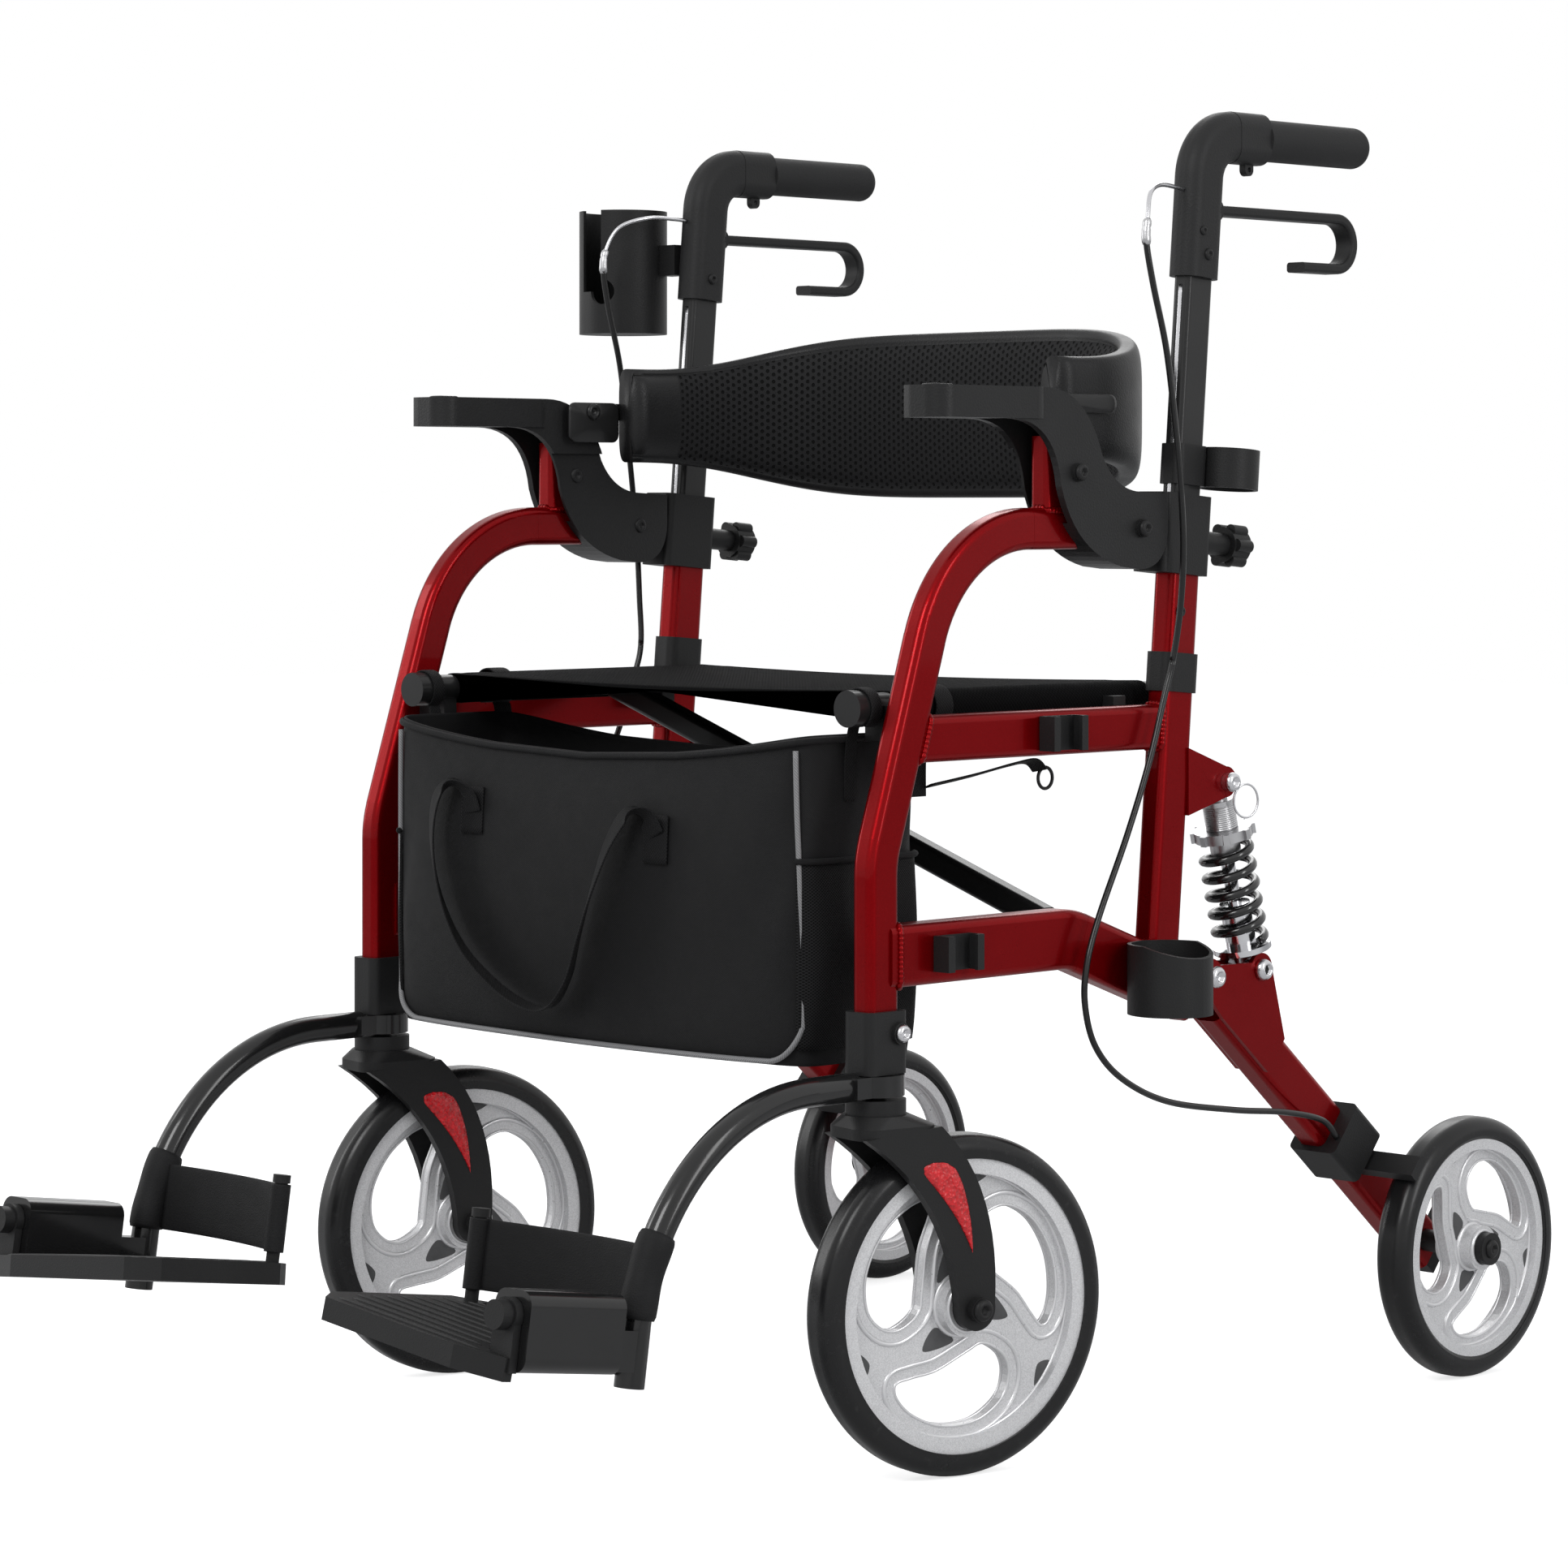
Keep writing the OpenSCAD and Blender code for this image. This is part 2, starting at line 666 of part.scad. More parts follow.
module brake_shoe(s) {
  color(black) at_side(s) along_arm() {
    translate([housing_x + 3, -9, shoe_t - 2]) cube([wheel_out + rear_w / 2 + 2 - housing_x - 3, 18, 9]);
    translate([housing_x + 3, -6, shoe_t - 40]) cube([stem_w, 12, 39]);
  }
}

module arm_hardware(s) {
  color(black) at_side(s) {
    // Brake housing: a saddle round the arm with a guide for the shoe's stem
    along_arm() translate([0, 0, housing_t]) difference() {
      linear_extrude(40) difference() {
        translate([3, 0]) section(arm_w + 21, arm_h + 10, 5);
        section(arm_w + 2 * seat_gap, arm_h + 2 * seat_gap, tube_r + seat_gap);
      }
      translate([housing_x + 3 - slide_gap, -6 - slide_gap, 3])
        cube([stem_w + 2 * slide_gap, 12 + 2 * slide_gap, 60]);
    }
    // Tipping pedal on the arm's end
    along_arm() translate([-9, -arm_h / 2, arm_len + arm_tail]) cube([18, arm_h - 6, 16]);
    along_arm() translate([-9, -arm_h / 2 - 26, arm_len + arm_tail]) cube([18, 30, 8]);
    // Axle with its spacer and cap
    cross_pin(axle_y, axle_z, axle_r, -arm_w / 2 - 5, wheel_out + hub_half + cap_t);
    difference() {
      cross_pin(axle_y, axle_z, 9, arm_w / 2 + seat_gap, wheel_out - hub_half - slide_gap);
      cross_pin(axle_y, axle_z, axle_r + run_gap, 0, wheel_out);
    }
    difference() {
      cross_pin(axle_y, axle_z, 13, wheel_out + hub_half + slide_gap, wheel_out + hub_half + cap_t + 0.5);
      cross_pin(axle_y, axle_z, axle_r + run_gap, 0, wheel_out + hub_half + cap_t);
    }
    // Lower shock bolt
    cross_pin(shock_foot_y, shock_foot_z, pin_r, -cheek_x - cheek_t - 4, cheek_x + cheek_t + 4);
  }
}

body_r = 12;
rod_r = 5.5;
nut_t = 8;

module shock_body(s) {
  color(silver) at_side(s) along_shock() difference() {
    union() {
      translate([0, 0, seat_high - 12]) cylinder(r = body_r, h = shock_len - eye_out - 5 - seat_high + 12);
      translate([0, 0, seat_high]) cylinder(r = eye_w / 2 - 0.2, h = shock_len - seat_high);
      translate([0, 0, seat_high]) cylinder(r = spring_r + wire_r + 0.5, h = nut_t);
      for (k = [0 : 7]) rotate(45 * k) translate([spring_r + wire_r - 2, -2.5, seat_high]) cube([5, 5, nut_t]);
      translate([0, 0, shock_len]) cross_pin(0, 0, eye_out, -eye_w / 2, eye_w / 2);
    }
    translate([0, 0, seat_high - 14]) cylinder(r = rod_r + 0.3, h = 34);
    translate([0, 0, shock_len]) cross_pin(0, 0, pin_r + run_gap, -eye_w, eye_w);
  }
}

module shock_rod(s) {
  color(silver) at_side(s) along_shock() difference() {
    union() {
      cross_pin(0, 0, eye_out, -cheek_x + slide_gap, cheek_x - slide_gap);
      translate([0, 0, 5]) cylinder(r = rod_r, h = seat_high - 5);
      cylinder(r = 8, h = seat_low);
      translate([0, 0, seat_low - 4.5]) cylinder(r = spring_r + wire_r + 0.5, h = 4.5);
      translate([0, 0, seat_low]) cylinder(r = body_r, h = 34);
    }
    cross_pin(0, 0, pin_r + bush_gap, -30, 30);
  }
}

module shock_spring(s) {
  color(black) at_side(s) along_shock() loft(tube_rings(spring_line, wire_r, wire_sides, [0, 0, 1]));
}

module pivot_bolts(s) {
  color(silver) at_side(s) {
    cross_pin(pivot_y, pivot_z, pin_r, -cheek_x - cheek_t - 5, cheek_x + cheek_t + 5);
    for (x = [-cheek_x - cheek_t - 5, cheek_x + cheek_t + 0.5]) cross_pin(pivot_y, pivot_z, 8, x, x + 4.5);
    cross_pin(shock_top_y, shock_top_z, pin_r, -eye_w / 2 - cheek_t - 5, eye_w / 2 + cheek_t + 5);
    for (x = [-eye_w / 2 - cheek_t - 5, eye_w / 2 + cheek_t + 0.5])
      cross_pin(shock_top_y, shock_top_z, 7, x, x + 4.5);
    long_pin(fold_x - frame_x, fold_z, pin_r, fold_y - lug_clear / 2 - lug_t - 2,
      fold_y + lug_clear / 2 + lug_t + 2);
  }
}

// Handles

module handle_post(s) {
  color(black) at_side(s) on_post() translate([0, 0, inner_foot]) linear_extrude(inner_top - inner_foot)
    section(inner_w, inner_d, inner_r);
}

eye_z = grip_z - shell_d / 2 - 4;
eye_y = seam_y - 14;
hub_r = 9;
slot_w = lever_w + 2 * slide_gap + 0.4;

module handle_shell(s) {
  color(black) at_side(s) {
    difference() {
      union() {
        on_post() translate([0, 0, shell_start])
          tube_run([[shell_straight, 90 - post_lean, shell_bend_r]], shell_w, shell_d, 12);
        translate([0, seam_y - 37, grip_z]) rotate([-90, 0, 0]) linear_extrude(37)
          section(shell_w + 0.6, shell_d + 0.6, 12.3);
        plate_at(-3, 6) {
          translate([eye_y, eye_z]) circle(5);
          translate([eye_y - 5, eye_z]) square([10, 8]);
        }
      }
      on_post() translate([0, 0, inner_foot]) linear_extrude(inner_top - inner_foot + seat_gap)
        section(inner_w + 2 * seat_gap, inner_d + 2 * seat_gap, inner_r + seat_gap);
      cross_pin(eye_y, eye_z, eye_r, -10, 10);
      translate([-slot_w / 2, lever_y - hub_r - 1, lever_z - 14]) cube([slot_w, 60, 29]);
    }
    cross_pin(lever_y, lever_z, 2.5, -shell_w / 2 + 1, shell_w / 2 - 1);
  }
}

module hand_grip(s) {
  color("#262628") at_side(s) translate([0, seam_y, grip_z]) rotate([-90, 0, 0]) rotate_extrude() {
    square([grip_r - 10, grip_len]);
    square([grip_r, grip_len - 10]);
    translate([grip_r - 10, grip_len - 10]) intersection() {
      circle(10);
      square(10);
    }
  }
}

module brake_lever(s) {
  color(black) at_side(s) difference() {
    union() {
      cross_pin(lever_y, lever_z, hub_r, -lever_w / 2, lever_w / 2);
      translate([0, lever_y, lever_z]) rotate([-90, 0, 0])
        tube_run([[lever_reach - hook_r, 180, hook_r], [45, 0, 0]], lever_w, lever_t, 2.5);
    }
    cross_pin(lever_y, lever_z, 2.5 + run_gap, -20, 20);
  }
}

clamp_foot = along_post(650);
clamp_head = along_post(711);
clamp_w = post_w + 12;
clamp_d = post_d + 22;
clamp_back = 3;
knob_h = along_post(677);
stud_r = 4;

module post_clamp(s) {
  color(black) at_side(s) on_post() difference() {
    translate([0, clamp_back - (clamp_d - post_d) / 2, clamp_foot]) linear_extrude(clamp_head - clamp_foot)
      section(clamp_w, clamp_d, 6);
    translate([0, 0, clamp_foot - 1]) linear_extrude(post_len - clamp_foot + 1 + seat_gap)
      section(post_w + 2 * seat_gap, post_d + 2 * seat_gap, tube_r + seat_gap);
    translate([0, 0, post_len]) linear_extrude(60)
      section(inner_w + 2 * slide_gap, inner_d + 2 * slide_gap, inner_r + slide_gap);
    long_pin(0, knob_h, stud_r + run_gap, 0, 60);
  }
}

module clamp_knob(s) {
  stud_y = post_d / 2 + slide_gap;
  knob_y = stud_y + 34;
  color(black) at_side(s) on_post() {
    long_pin(0, knob_h, stud_r, stud_y, knob_y + 4);
    long_pin(0, knob_h, 9, stud_y + 6, knob_y);
    long_pin(0, knob_h, 14, knob_y, knob_y + 20);
    for (k = [0 : 5]) translate([13 * cos(60 * k), 0, 13 * sin(60 * k)])
      long_pin(0, knob_h, 5, knob_y + 2, knob_y + 18);
  }
}

// Armrests and back

arm_low_z = arm_top_z - arm_pad_t;
arm_pad_l = 122;
arm_wall = 6;
arm_inner = 18;   // from the side's plane to the armrest's inner face, below the pad
arm_outline = concat(
  [[arm_front_y + 20, arm_top_z]],
  bez([159, arm_top_z], [205, arm_top_z], [223, 741]),
  bez([223, 741], [236, 717], [262, 714]),
  [[299, 712]],
  bez([299, 688], [298, 655], [266, 655]),
  bez([246, 657], [192, 668], [177, 717]),
  bez([177, 717], [170, arm_low_z], [120, arm_low_z]),
  [[arm_front_y + 20, arm_low_z]]);

// The hollow between the armrest's cheeks, in which the stub stands
arm_hollow = [[118, arm_low_z - 1], [132, arm_low_z + 5], [182, arm_low_z + 5], [203, 748], [211, 730], [214, 712],
  [206, 690], [150, 690]];

module armrest(s) {
  color(black) at_side(s) {
    difference() {
      union() {
        plate_at(-arm_rest_w / 2, arm_rest_w) polygon(arm_outline);
        translate([0, arm_front_y + arm_pad_l / 2, arm_low_z]) linear_extrude(arm_pad_t) section(arm_pad_w, arm_pad_l, 16);
      }
      plate_at(arm_wall - arm_rest_w / 2, arm_rest_w - 2 * arm_wall) polygon(arm_hollow);
      // The seat tube passes here when the chair folds
      translate([-arm_rest_w / 2 - 1, 100, 600]) cube([arm_rest_w / 2 + 1 - arm_inner, 260, 146]);
      front_tube(slide_gap);
      stub(slide_gap);
      cross_pin(back_pivot_y, back_pivot_z, pin_r + run_gap, -arm_rest_w, -4);
    }
    for (p = [[195, 728], [268, 686]])
      cross_pin(p[0], p[1], 7, arm_rest_w / 2, arm_rest_w / 2 + 3);
  }
}

// Back pad: a crowned band that follows a rounded U in plan and is tallest at its middle
bar_t = 3.6;
bar_x = frame_x - arm_pad_w / 2 - 0.6 - bar_t;
pad_half = bar_x - 0.2;
pad_start_y = back_pivot_y + 38;
pad_depth = back_pivot_y + back_reach - pad_start_y;
pad_stations = 28;
pad_ring = 12;
pad_power = 3;

function u_curve(a, half, depth) = [half * sign(cos(a)) * pow(abs(cos(a)), 2 / pad_power),
  pad_start_y + depth * pow(sin(a), 2 / pad_power)];

pad_rings = [for (i = [0 : pad_stations]) let (
  a = 180 * i / pad_stations,
  crown = 1 - pow(abs(cos(a)), 3),
  h = back_end_h + (back_mid_h - back_end_h) * crown,
  low = back_pivot_z - 3 - h / 2,
  out = u_curve(a, pad_half, pad_depth),
  in = u_curve(a, pad_half - back_t, pad_depth - back_t))
  [for (j = [0 : pad_ring - 1]) let (
    b = 360 * j / pad_ring,
    v = sign(sin(b)) * pow(abs(sin(b)), 0.6),
    u = 0.5 + 0.5 * sign(cos(b)) * pow(abs(cos(b)), 0.6))
    [in[0] + (out[0] - in[0]) * u, in[1] + (out[1] - in[1]) * u, low + h / 2 + h / 2 * v]]];

module back_pad() {
  color(cloth) at_middle() loft(pad_rings);
}

module back_bars() {
  color(black) at_middle() for (s = [right, left]) mirror([s < 0 ? 1 : 0, 0, 0]) {
    plate_at(bar_x, bar_t) {
      translate([back_pivot_y, back_pivot_z - 6]) square([96, 12]);
      translate([back_pivot_y, back_pivot_z]) circle(12);
    }
    cross_pin(back_pivot_y, back_pivot_z, pin_r, bar_x - 2, frame_x - arm_rest_w / 2 + 10);
  }
}

// Seat and fold

fold_tilt = atan2(seat_z - fold_z, fold_x + seat_x);
fold_len = norm([seat_z - fold_z, fold_x + seat_x]);
fold_eye_r = 7.5;

// The bar whose foot is on the right frame carries the left seat tube, and the other way round
module fold_frame(s) {
  color(black) at_middle() mirror([s < 0 ? 0 : 1, 0, 0]) {
    bar_y = s < 0 ? fold_y + 0.2 : fold_y - fold_bar_t - 0.2;
    difference() {
      union() {
        translate([fold_x, bar_y, fold_z]) rotate([-90, 0, 0]) cylinder(r = fold_eye_r, h = fold_bar_t);
        translate([fold_x, bar_y + fold_bar_t / 2, fold_z]) rotate([0, fold_tilt - 90, 0])
          translate([0, 0, 14]) linear_extrude(fold_len - 14) section(fold_bar_h, fold_bar_t, 4);
        translate([fold_x, bar_y + 2, fold_z]) rotate([0, fold_tilt - 90, 0])
          translate([-5, 0, 0]) cube([10, fold_bar_t - 4, 20]);
        long_pin(-seat_x, seat_z, seat_tube_r, seat_front_y, seat_back_y);
        long_pin(-seat_x, seat_z, seat_tube_r + 2.5, seat_front_y - 8, seat_front_y + 6);
      }
      long_pin(fold_x, fold_z, pin_r + run_gap, fold_y - 60, fold_y + 60);
      long_pin(0, fold_mid_z, pin_r + run_gap, fold_y - 60, fold_y + 60);
    }
    if (s < 0) fold_bolt();
  }
}

module fold_bolt() {
  long_pin(0, fold_mid_z, pin_r, fold_y - fold_bar_t - 4, fold_y + fold_bar_t + 4);
  for (y = [fold_y - fold_bar_t - 4.5, fold_y + fold_bar_t + 0.5]) long_pin(0, fold_mid_z, 8, y, y + 4);
}

sleeve_in = seat_tube_r + slide_gap;
sleeve_out = sleeve_in + seat_t;
seat_top = [for (i = [0 : 24]) let (x = seat_x * (i / 12 - 1))
  [x, seat_z + sleeve_out - 0.3 - seat_sag * (1 - pow(x / seat_x, 2))]];
seat_low_side = [for (i = [24 : -1 : 0]) seat_top[i] - [0, seat_t]];

// Cloth with a sleeve for each seat tube, cut open below at the fold bars and the rear saddles
module seat_sling() {
  color(cloth) at_middle() difference() {
    union() {
      translate([0, cloth_back_y, 0]) rotate([90, 0, 0])
        linear_extrude(cloth_back_y - cloth_front_y) polygon(concat(seat_top, seat_low_side));
      for (x = [-seat_x, seat_x]) long_pin(x, seat_z, sleeve_out, cloth_front_y + 0.5, cloth_back_y - 0.5);
    }
    for (x = [-seat_x, seat_x]) long_pin(x, seat_z, sleeve_in, cloth_front_y - 5, cloth_back_y + 5);
    for (x = [-seat_x, seat_x], y = [[fold_y - fold_bar_t - 3, 2 * fold_bar_t + 6], [saddle_y - 3, 20]])
      translate([x - 16, y[0], seat_z - 20]) cube([32, y[1], 20 + sleeve_in + 0.2]);
  }
}

// Saddles under the seat tube and the band round the post
saddle_spans = [[cloth_front_y - 14, cloth_front_y - 1], [saddle_y, saddle_y + 14]];
band_z = 560;
band_h = 30;

module frame_fittings(s) {
  color(black) at_side(s) {
    for (y = saddle_spans) difference() {
      translate([seat_x - frame_x - 8, y[0], seat_z - 24])
        cube([frame_x - tube_w / 2 - seat_gap - seat_x + 8, y[1] - y[0], 26]);
      long_pin(seat_x - frame_x, seat_z, seat_tube_r + slide_gap, 0, 400);
      translate([seat_x - frame_x - seat_tube_r - slide_gap, 0, seat_z])
        cube([2 * seat_tube_r + 2 * slide_gap, 400, 30]);
    }
    on_post() translate([0, 0, along_post(band_z)]) linear_extrude(band_h) difference() {
      section(post_w + 5, post_d + 5, tube_r + 2);
      section(post_w + 2 * seat_gap, post_d + 2 * seat_gap, tube_r + seat_gap);
    }
  }
}

// Bag: an open box with round upright edges, hung by two loops from the seat tubes
bag_foot_z = 296;
bag_top_z = bag_foot_z + bag_h;
loop_y = [seat_front_y + 6.5, seat_front_y + 18];

module bag() {
  color(cloth) at_middle() {
    difference() {
      translate([0, bag_front_y + bag_d / 2, bag_foot_z]) linear_extrude(bag_h) section(bag_w, bag_d, 18);
      translate([0, bag_front_y + bag_d / 2, bag_foot_z + bag_wall]) linear_extrude(bag_h)
        section(bag_w - 2 * bag_wall, bag_d - 2 * bag_wall, 18 - bag_wall);
    }
    for (s = [-1, 1]) {
      difference() {
        union() {
          long_pin(s * seat_x, seat_z, sleeve_out, loop_y[0], loop_y[1]);
          translate([s * (bag_w / 2 - 1.5) - 1.5, loop_y[0], bag_top_z - 30])
            cube([3, loop_y[1] - loop_y[0], 32]);
          translate([s > 0 ? bag_w / 2 - 3 : -seat_x, loop_y[0], bag_top_z])
            cube([seat_x - bag_w / 2 + 3, loop_y[1] - loop_y[0], 2.5]);
          translate([s * seat_x - 1.5, loop_y[0], bag_top_z])
            cube([3, loop_y[1] - loop_y[0], seat_z - bag_top_z]);
        }
        long_pin(s * seat_x, seat_z, sleeve_in, 0, 100);
      }
    }
  }
}

// Footrests

ring_r = 21;
ring_z = collar_foot_z - 15.5;
ring_h = 15;
// The lower end of a footrest is drawn round its flip axis: v runs back along the pitched block, w up from the axis
foot_mid_y = -300;
block_x = [-13, 23];
block_v = [-53, 34];
block_w = [-37, 17];
neck_x = 9;
neck_w = [-36, -8];
flip_r = 5;

module at_foot() {
  translate([0, foot_mid_y, flip_z]) rotate([-foot_pitch, 0, 0]) children();
}

// Place of the hanger's lower end in the pitched frame
bend_end = [hanger_y - hanger_start - hanger_bend_r * cos(foot_pitch),
  hanger_z - hanger_bend_r + hanger_bend_r * sin(foot_pitch)];
hanger_v = (bend_end[0] - foot_mid_y) * cos(foot_pitch) - (bend_end[1] - flip_z) * sin(foot_pitch);

module footrest_hanger(s) {
  color(black) at_side(s) difference() {
    union() {
      translate([0, 0, ring_z]) cylinder(r = ring_r, h = ring_h);
      translate([-13, hanger_y - 8, ring_z]) cube([26, 20, ring_h]);
      translate([0, hanger_y, hanger_z]) rotate([90, 0, 0])
        tube_run([[hanger_start, foot_pitch - 90, hanger_bend_r], [hanger_low, 0, 0]], 2 * hanger_r, 2 * hanger_r,
          hanger_r);
      at_foot() {
        translate([(block_x[0] + block_x[1]) / 2, block_v[1], (block_w[0] + block_w[1]) / 2]) rotate([90, 0, 0])
          linear_extrude(block_v[1] - block_v[0])
            section(block_x[1] - block_x[0], block_w[1] - block_w[0], 10);
        translate([-neck_x, block_v[1] - 1, neck_w[0]])
          cube([2 * neck_x, hanger_v - block_v[1] - 2, neck_w[1] - neck_w[0]]);
      }
    }
    translate([0, 0, ring_z - 1]) cylinder(r = spigot_r + run_gap, h = 40);
    at_foot() long_pin(flip_x, 0, flip_r + run_gap, block_v[0] - 1, block_v[0] + 74);
  }
}

// Plate: it lies beside the block, and its ear goes up round the flip pin in front of the block
plate_x = flip_x + 9;
plate_w = -27.3;
ear_v = block_v[0] - 0.4;
ear_r = 12;
ear_t = 6.5;
cut_x = 39;
lip_w = plate_w + cut_x * sin(plate_tilt) - plate_t * cos(plate_tilt);
front_v = (plate_front_y - foot_mid_y - lip_w * sin(foot_pitch)) / cos(foot_pitch);
back_v = front_v + plate_depth;
beside_x = plate_x - block_x[0] + 0.6;
heel_x = -163;
heel_v = back_v - 15;
heel_r = 5;
heel_w = plate_w + (plate_x - heel_x) * tan(plate_tilt);

module footplate(s) {
  color(black) at_side(s) at_foot() {
    translate([plate_x, 0, plate_w]) rotate([0, plate_tilt, 0]) translate([0, 0, -plate_t])
      linear_extrude(plate_t) polygon([[-plate_len, front_v + 20], [18 - plate_len, front_v], [-cut_x, front_v],
        [0, front_v + 13], [0, ear_v - 1], [-beside_x, ear_v - 1], [-beside_x, back_v], [18 - plate_len, back_v],
        [-plate_len, back_v - 20]]);
    translate([flip_x - ear_r + 1.5, ear_v - ear_t, plate_w - 10]) cube([2 * ear_r - 3, ear_t, 10 - plate_w]);
    long_pin(flip_x, 0, ear_r, ear_v - ear_t, ear_v);
    long_pin(flip_x, 0, flip_r, ear_v - 2, block_v[0] + 72);
    long_pin(flip_x, 0, 10, ear_v - 16, ear_v - ear_t + 0.5);
    translate([heel_x, heel_v, heel_w - 4]) cylinder(r = heel_r, h = heel_post_h + 4);
    translate([heel_x, heel_v, heel_w + heel_post_h - 3]) cylinder(r = heel_r + 1.6, h = 6);
  }
}

strap_h = 50;
strap_t = 2.5;
strap_w = heel_w + 8;
sleeve_at = [11, 30];
strap_line = bez([heel_x + 6, heel_v + 1.5], [-80, heel_v + 30], [-11.4, hanger_v + 5.3]);

module heel_strap(s) {
  color(cloth) at_side(s) {
    at_foot() translate([0, 0, strap_w]) linear_extrude(strap_h) difference() {
      union() {
        polygon(concat(strap_line, [for (i = [12 : -1 : 0]) strap_line[i] + [0, strap_t]]));
        translate([heel_x, heel_v]) circle(heel_r + slide_gap + 2);
      }
      translate([heel_x, heel_v]) circle(heel_r + slide_gap);
    }
    translate([0, foot_y + hanger_bend_r, foot_z]) rotate([90, 0, -90])
      rotate(sleeve_at[0]) rotate_extrude(angle = sleeve_at[1] - sleeve_at[0]) translate([hanger_bend_r, 0])
        difference() {
          circle(hanger_r + 2.5);
          circle(hanger_r + slide_gap);
        }
  }
}

// Cables and holders

module brake_cable(s) {
  color(black) at_side(s)
    loft(tube_rings(through(cable_points, 3), cable_r, cable_sides, [1, 0, 0]));
}

module open_cup(d, h, floor_t) {
  difference() {
    cylinder(d = d, h = h);
    translate([0, 0, floor_t]) cylinder(d = d - 2 * cup_wall, h = h);
  }
}

cup_y = 330;
cup_z = grip_z - 139;

module cup_holder() {
  color(black) at_side(left) {
    difference() {
      translate([cup_out, cup_y, cup_z]) open_cup(cup_d, cup_h, 4);
      translate([cup_out - 11, cup_y - cup_d, cup_z + 36]) cube([22, cup_d, cup_h]);
      translate([cup_out - 11, cup_y - cup_d / 2, cup_z + 36]) rotate([-90, 0, 0])
        cylinder(r = 11, h = cup_d / 2);
    }
    translate([shell_w / 2 + seat_gap, cup_y + 8, cup_z + 50]) cube([cup_out - cup_d / 2 - shell_w / 2 + 6, 20, 26]);
  }
}

cane_x = lower_rail_w / 2 + cane_d / 2;
cane_y = 274;
cane_z = 320;
clip_spots = [[184, upper_rail_z, tube_w / 2], [67, lower_rail_z, lower_rail_w / 2]];
loop_z = 719;
loop_h = 31;

module cane_holder() {
  color(black) at_side(right) {
    // Cane cup with a rim that slopes down to the outside
    difference() {
      translate([cane_x + seat_gap, cane_y, cane_z]) open_cup(cane_d - 2 * seat_gap, 53, 5);
      translate([cane_x, cane_y - 50, cane_z + 53]) rotate([0, 16, 0]) cube([80, 100, 40]);
    }
    // Spring clips on the rails
    for (c = clip_spots) translate([c[2] + seat_gap, c[0], c[1]]) {
      translate([0, -19, -13]) cube([3, 38, 26]);
      for (y = [-19, 16]) translate([0, y, -13]) cube([15, 3, 26]);
      for (y = [-19, 12]) translate([12, y, -13]) cube([3, 7, 26]);
    }
    // Cane loop: one ring round the handle post and one behind it
    on_post() translate([0, 0, along_post(loop_z)]) linear_extrude(loop_h) difference() {
      union() {
        section(inner_w + 6, inner_d + 6, inner_r + 3);
        translate([12, 40]) circle(24);
      }
      section(inner_w + 2 * slide_gap, inner_d + 2 * slide_gap, inner_r + slide_gap);
      translate([12, 40]) circle(21);
    }
  }
}

side_frame(right);  // right_side_frame
stem_collar(right);  // right_stem_collar
caster_fork(right);  // right_caster_fork
front_rim(right);  // right_front_rim
front_tyre(right);  // right_front_tyre
swing_arm(right);  // right_swing_arm
brake_shoe(right);  // right_brake_shoe
arm_hardware(right);  // right_arm_hardware
rear_rim(right);  // right_rear_rim
rear_tyre(right);  // right_rear_tyre
shock_body(right);  // right_shock_body
shock_rod(right);  // right_shock_rod
shock_spring(right);  // right_shock_spring
pivot_bolts(right);  // right_pivot_bolts
handle_post(right);  // right_handle_post
handle_shell(right);  // right_handle_shell
hand_grip(right);  // right_hand_grip
brake_lever(right);  // right_brake_lever
post_clamp(right);  // right_post_clamp
clamp_knob(right);  // right_clamp_knob
armrest(right);  // right_armrest
footrest_hanger(right);  // right_footrest_hanger
footplate(right);  // right_footplate
heel_strap(right);  // right_heel_strap
fold_frame(right);  // right_fold_frame
brake_cable(right);  // right_brake_cable
frame_fittings(right);  // right_frame_fittings
side_frame(left);  // left_side_frame
stem_collar(left);  // left_stem_collar
caster_fork(left);  // left_caster_fork
front_rim(left);  // left_front_rim
front_tyre(left);  // left_front_tyre
swing_arm(left);  // left_swing_arm
brake_shoe(left);  // left_brake_shoe
arm_hardware(left);  // left_arm_hardware
rear_rim(left);  // left_rear_rim
rear_tyre(left);  // left_rear_tyre
shock_body(left);  // left_shock_body
shock_rod(left);  // left_shock_rod
shock_spring(left);  // left_shock_spring
pivot_bolts(left);  // left_pivot_bolts
handle_post(left);  // left_handle_post
handle_shell(left);  // left_handle_shell
hand_grip(left);  // left_hand_grip
brake_lever(left);  // left_brake_lever
post_clamp(left);  // left_post_clamp
clamp_knob(left);  // left_clamp_knob
armrest(left);  // left_armrest
footrest_hanger(left);  // left_footrest_hanger
footplate(left);  // left_footplate
heel_strap(left);  // left_heel_strap
fold_frame(left);  // left_fold_frame
brake_cable(left);  // left_brake_cable
frame_fittings(left);  // left_frame_fittings
back_pad();
back_bars();
seat_sling();
bag();
cup_holder();
cane_holder();
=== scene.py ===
"""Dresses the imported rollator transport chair: paint, mouldings, cloth, cables, stage and camera."""

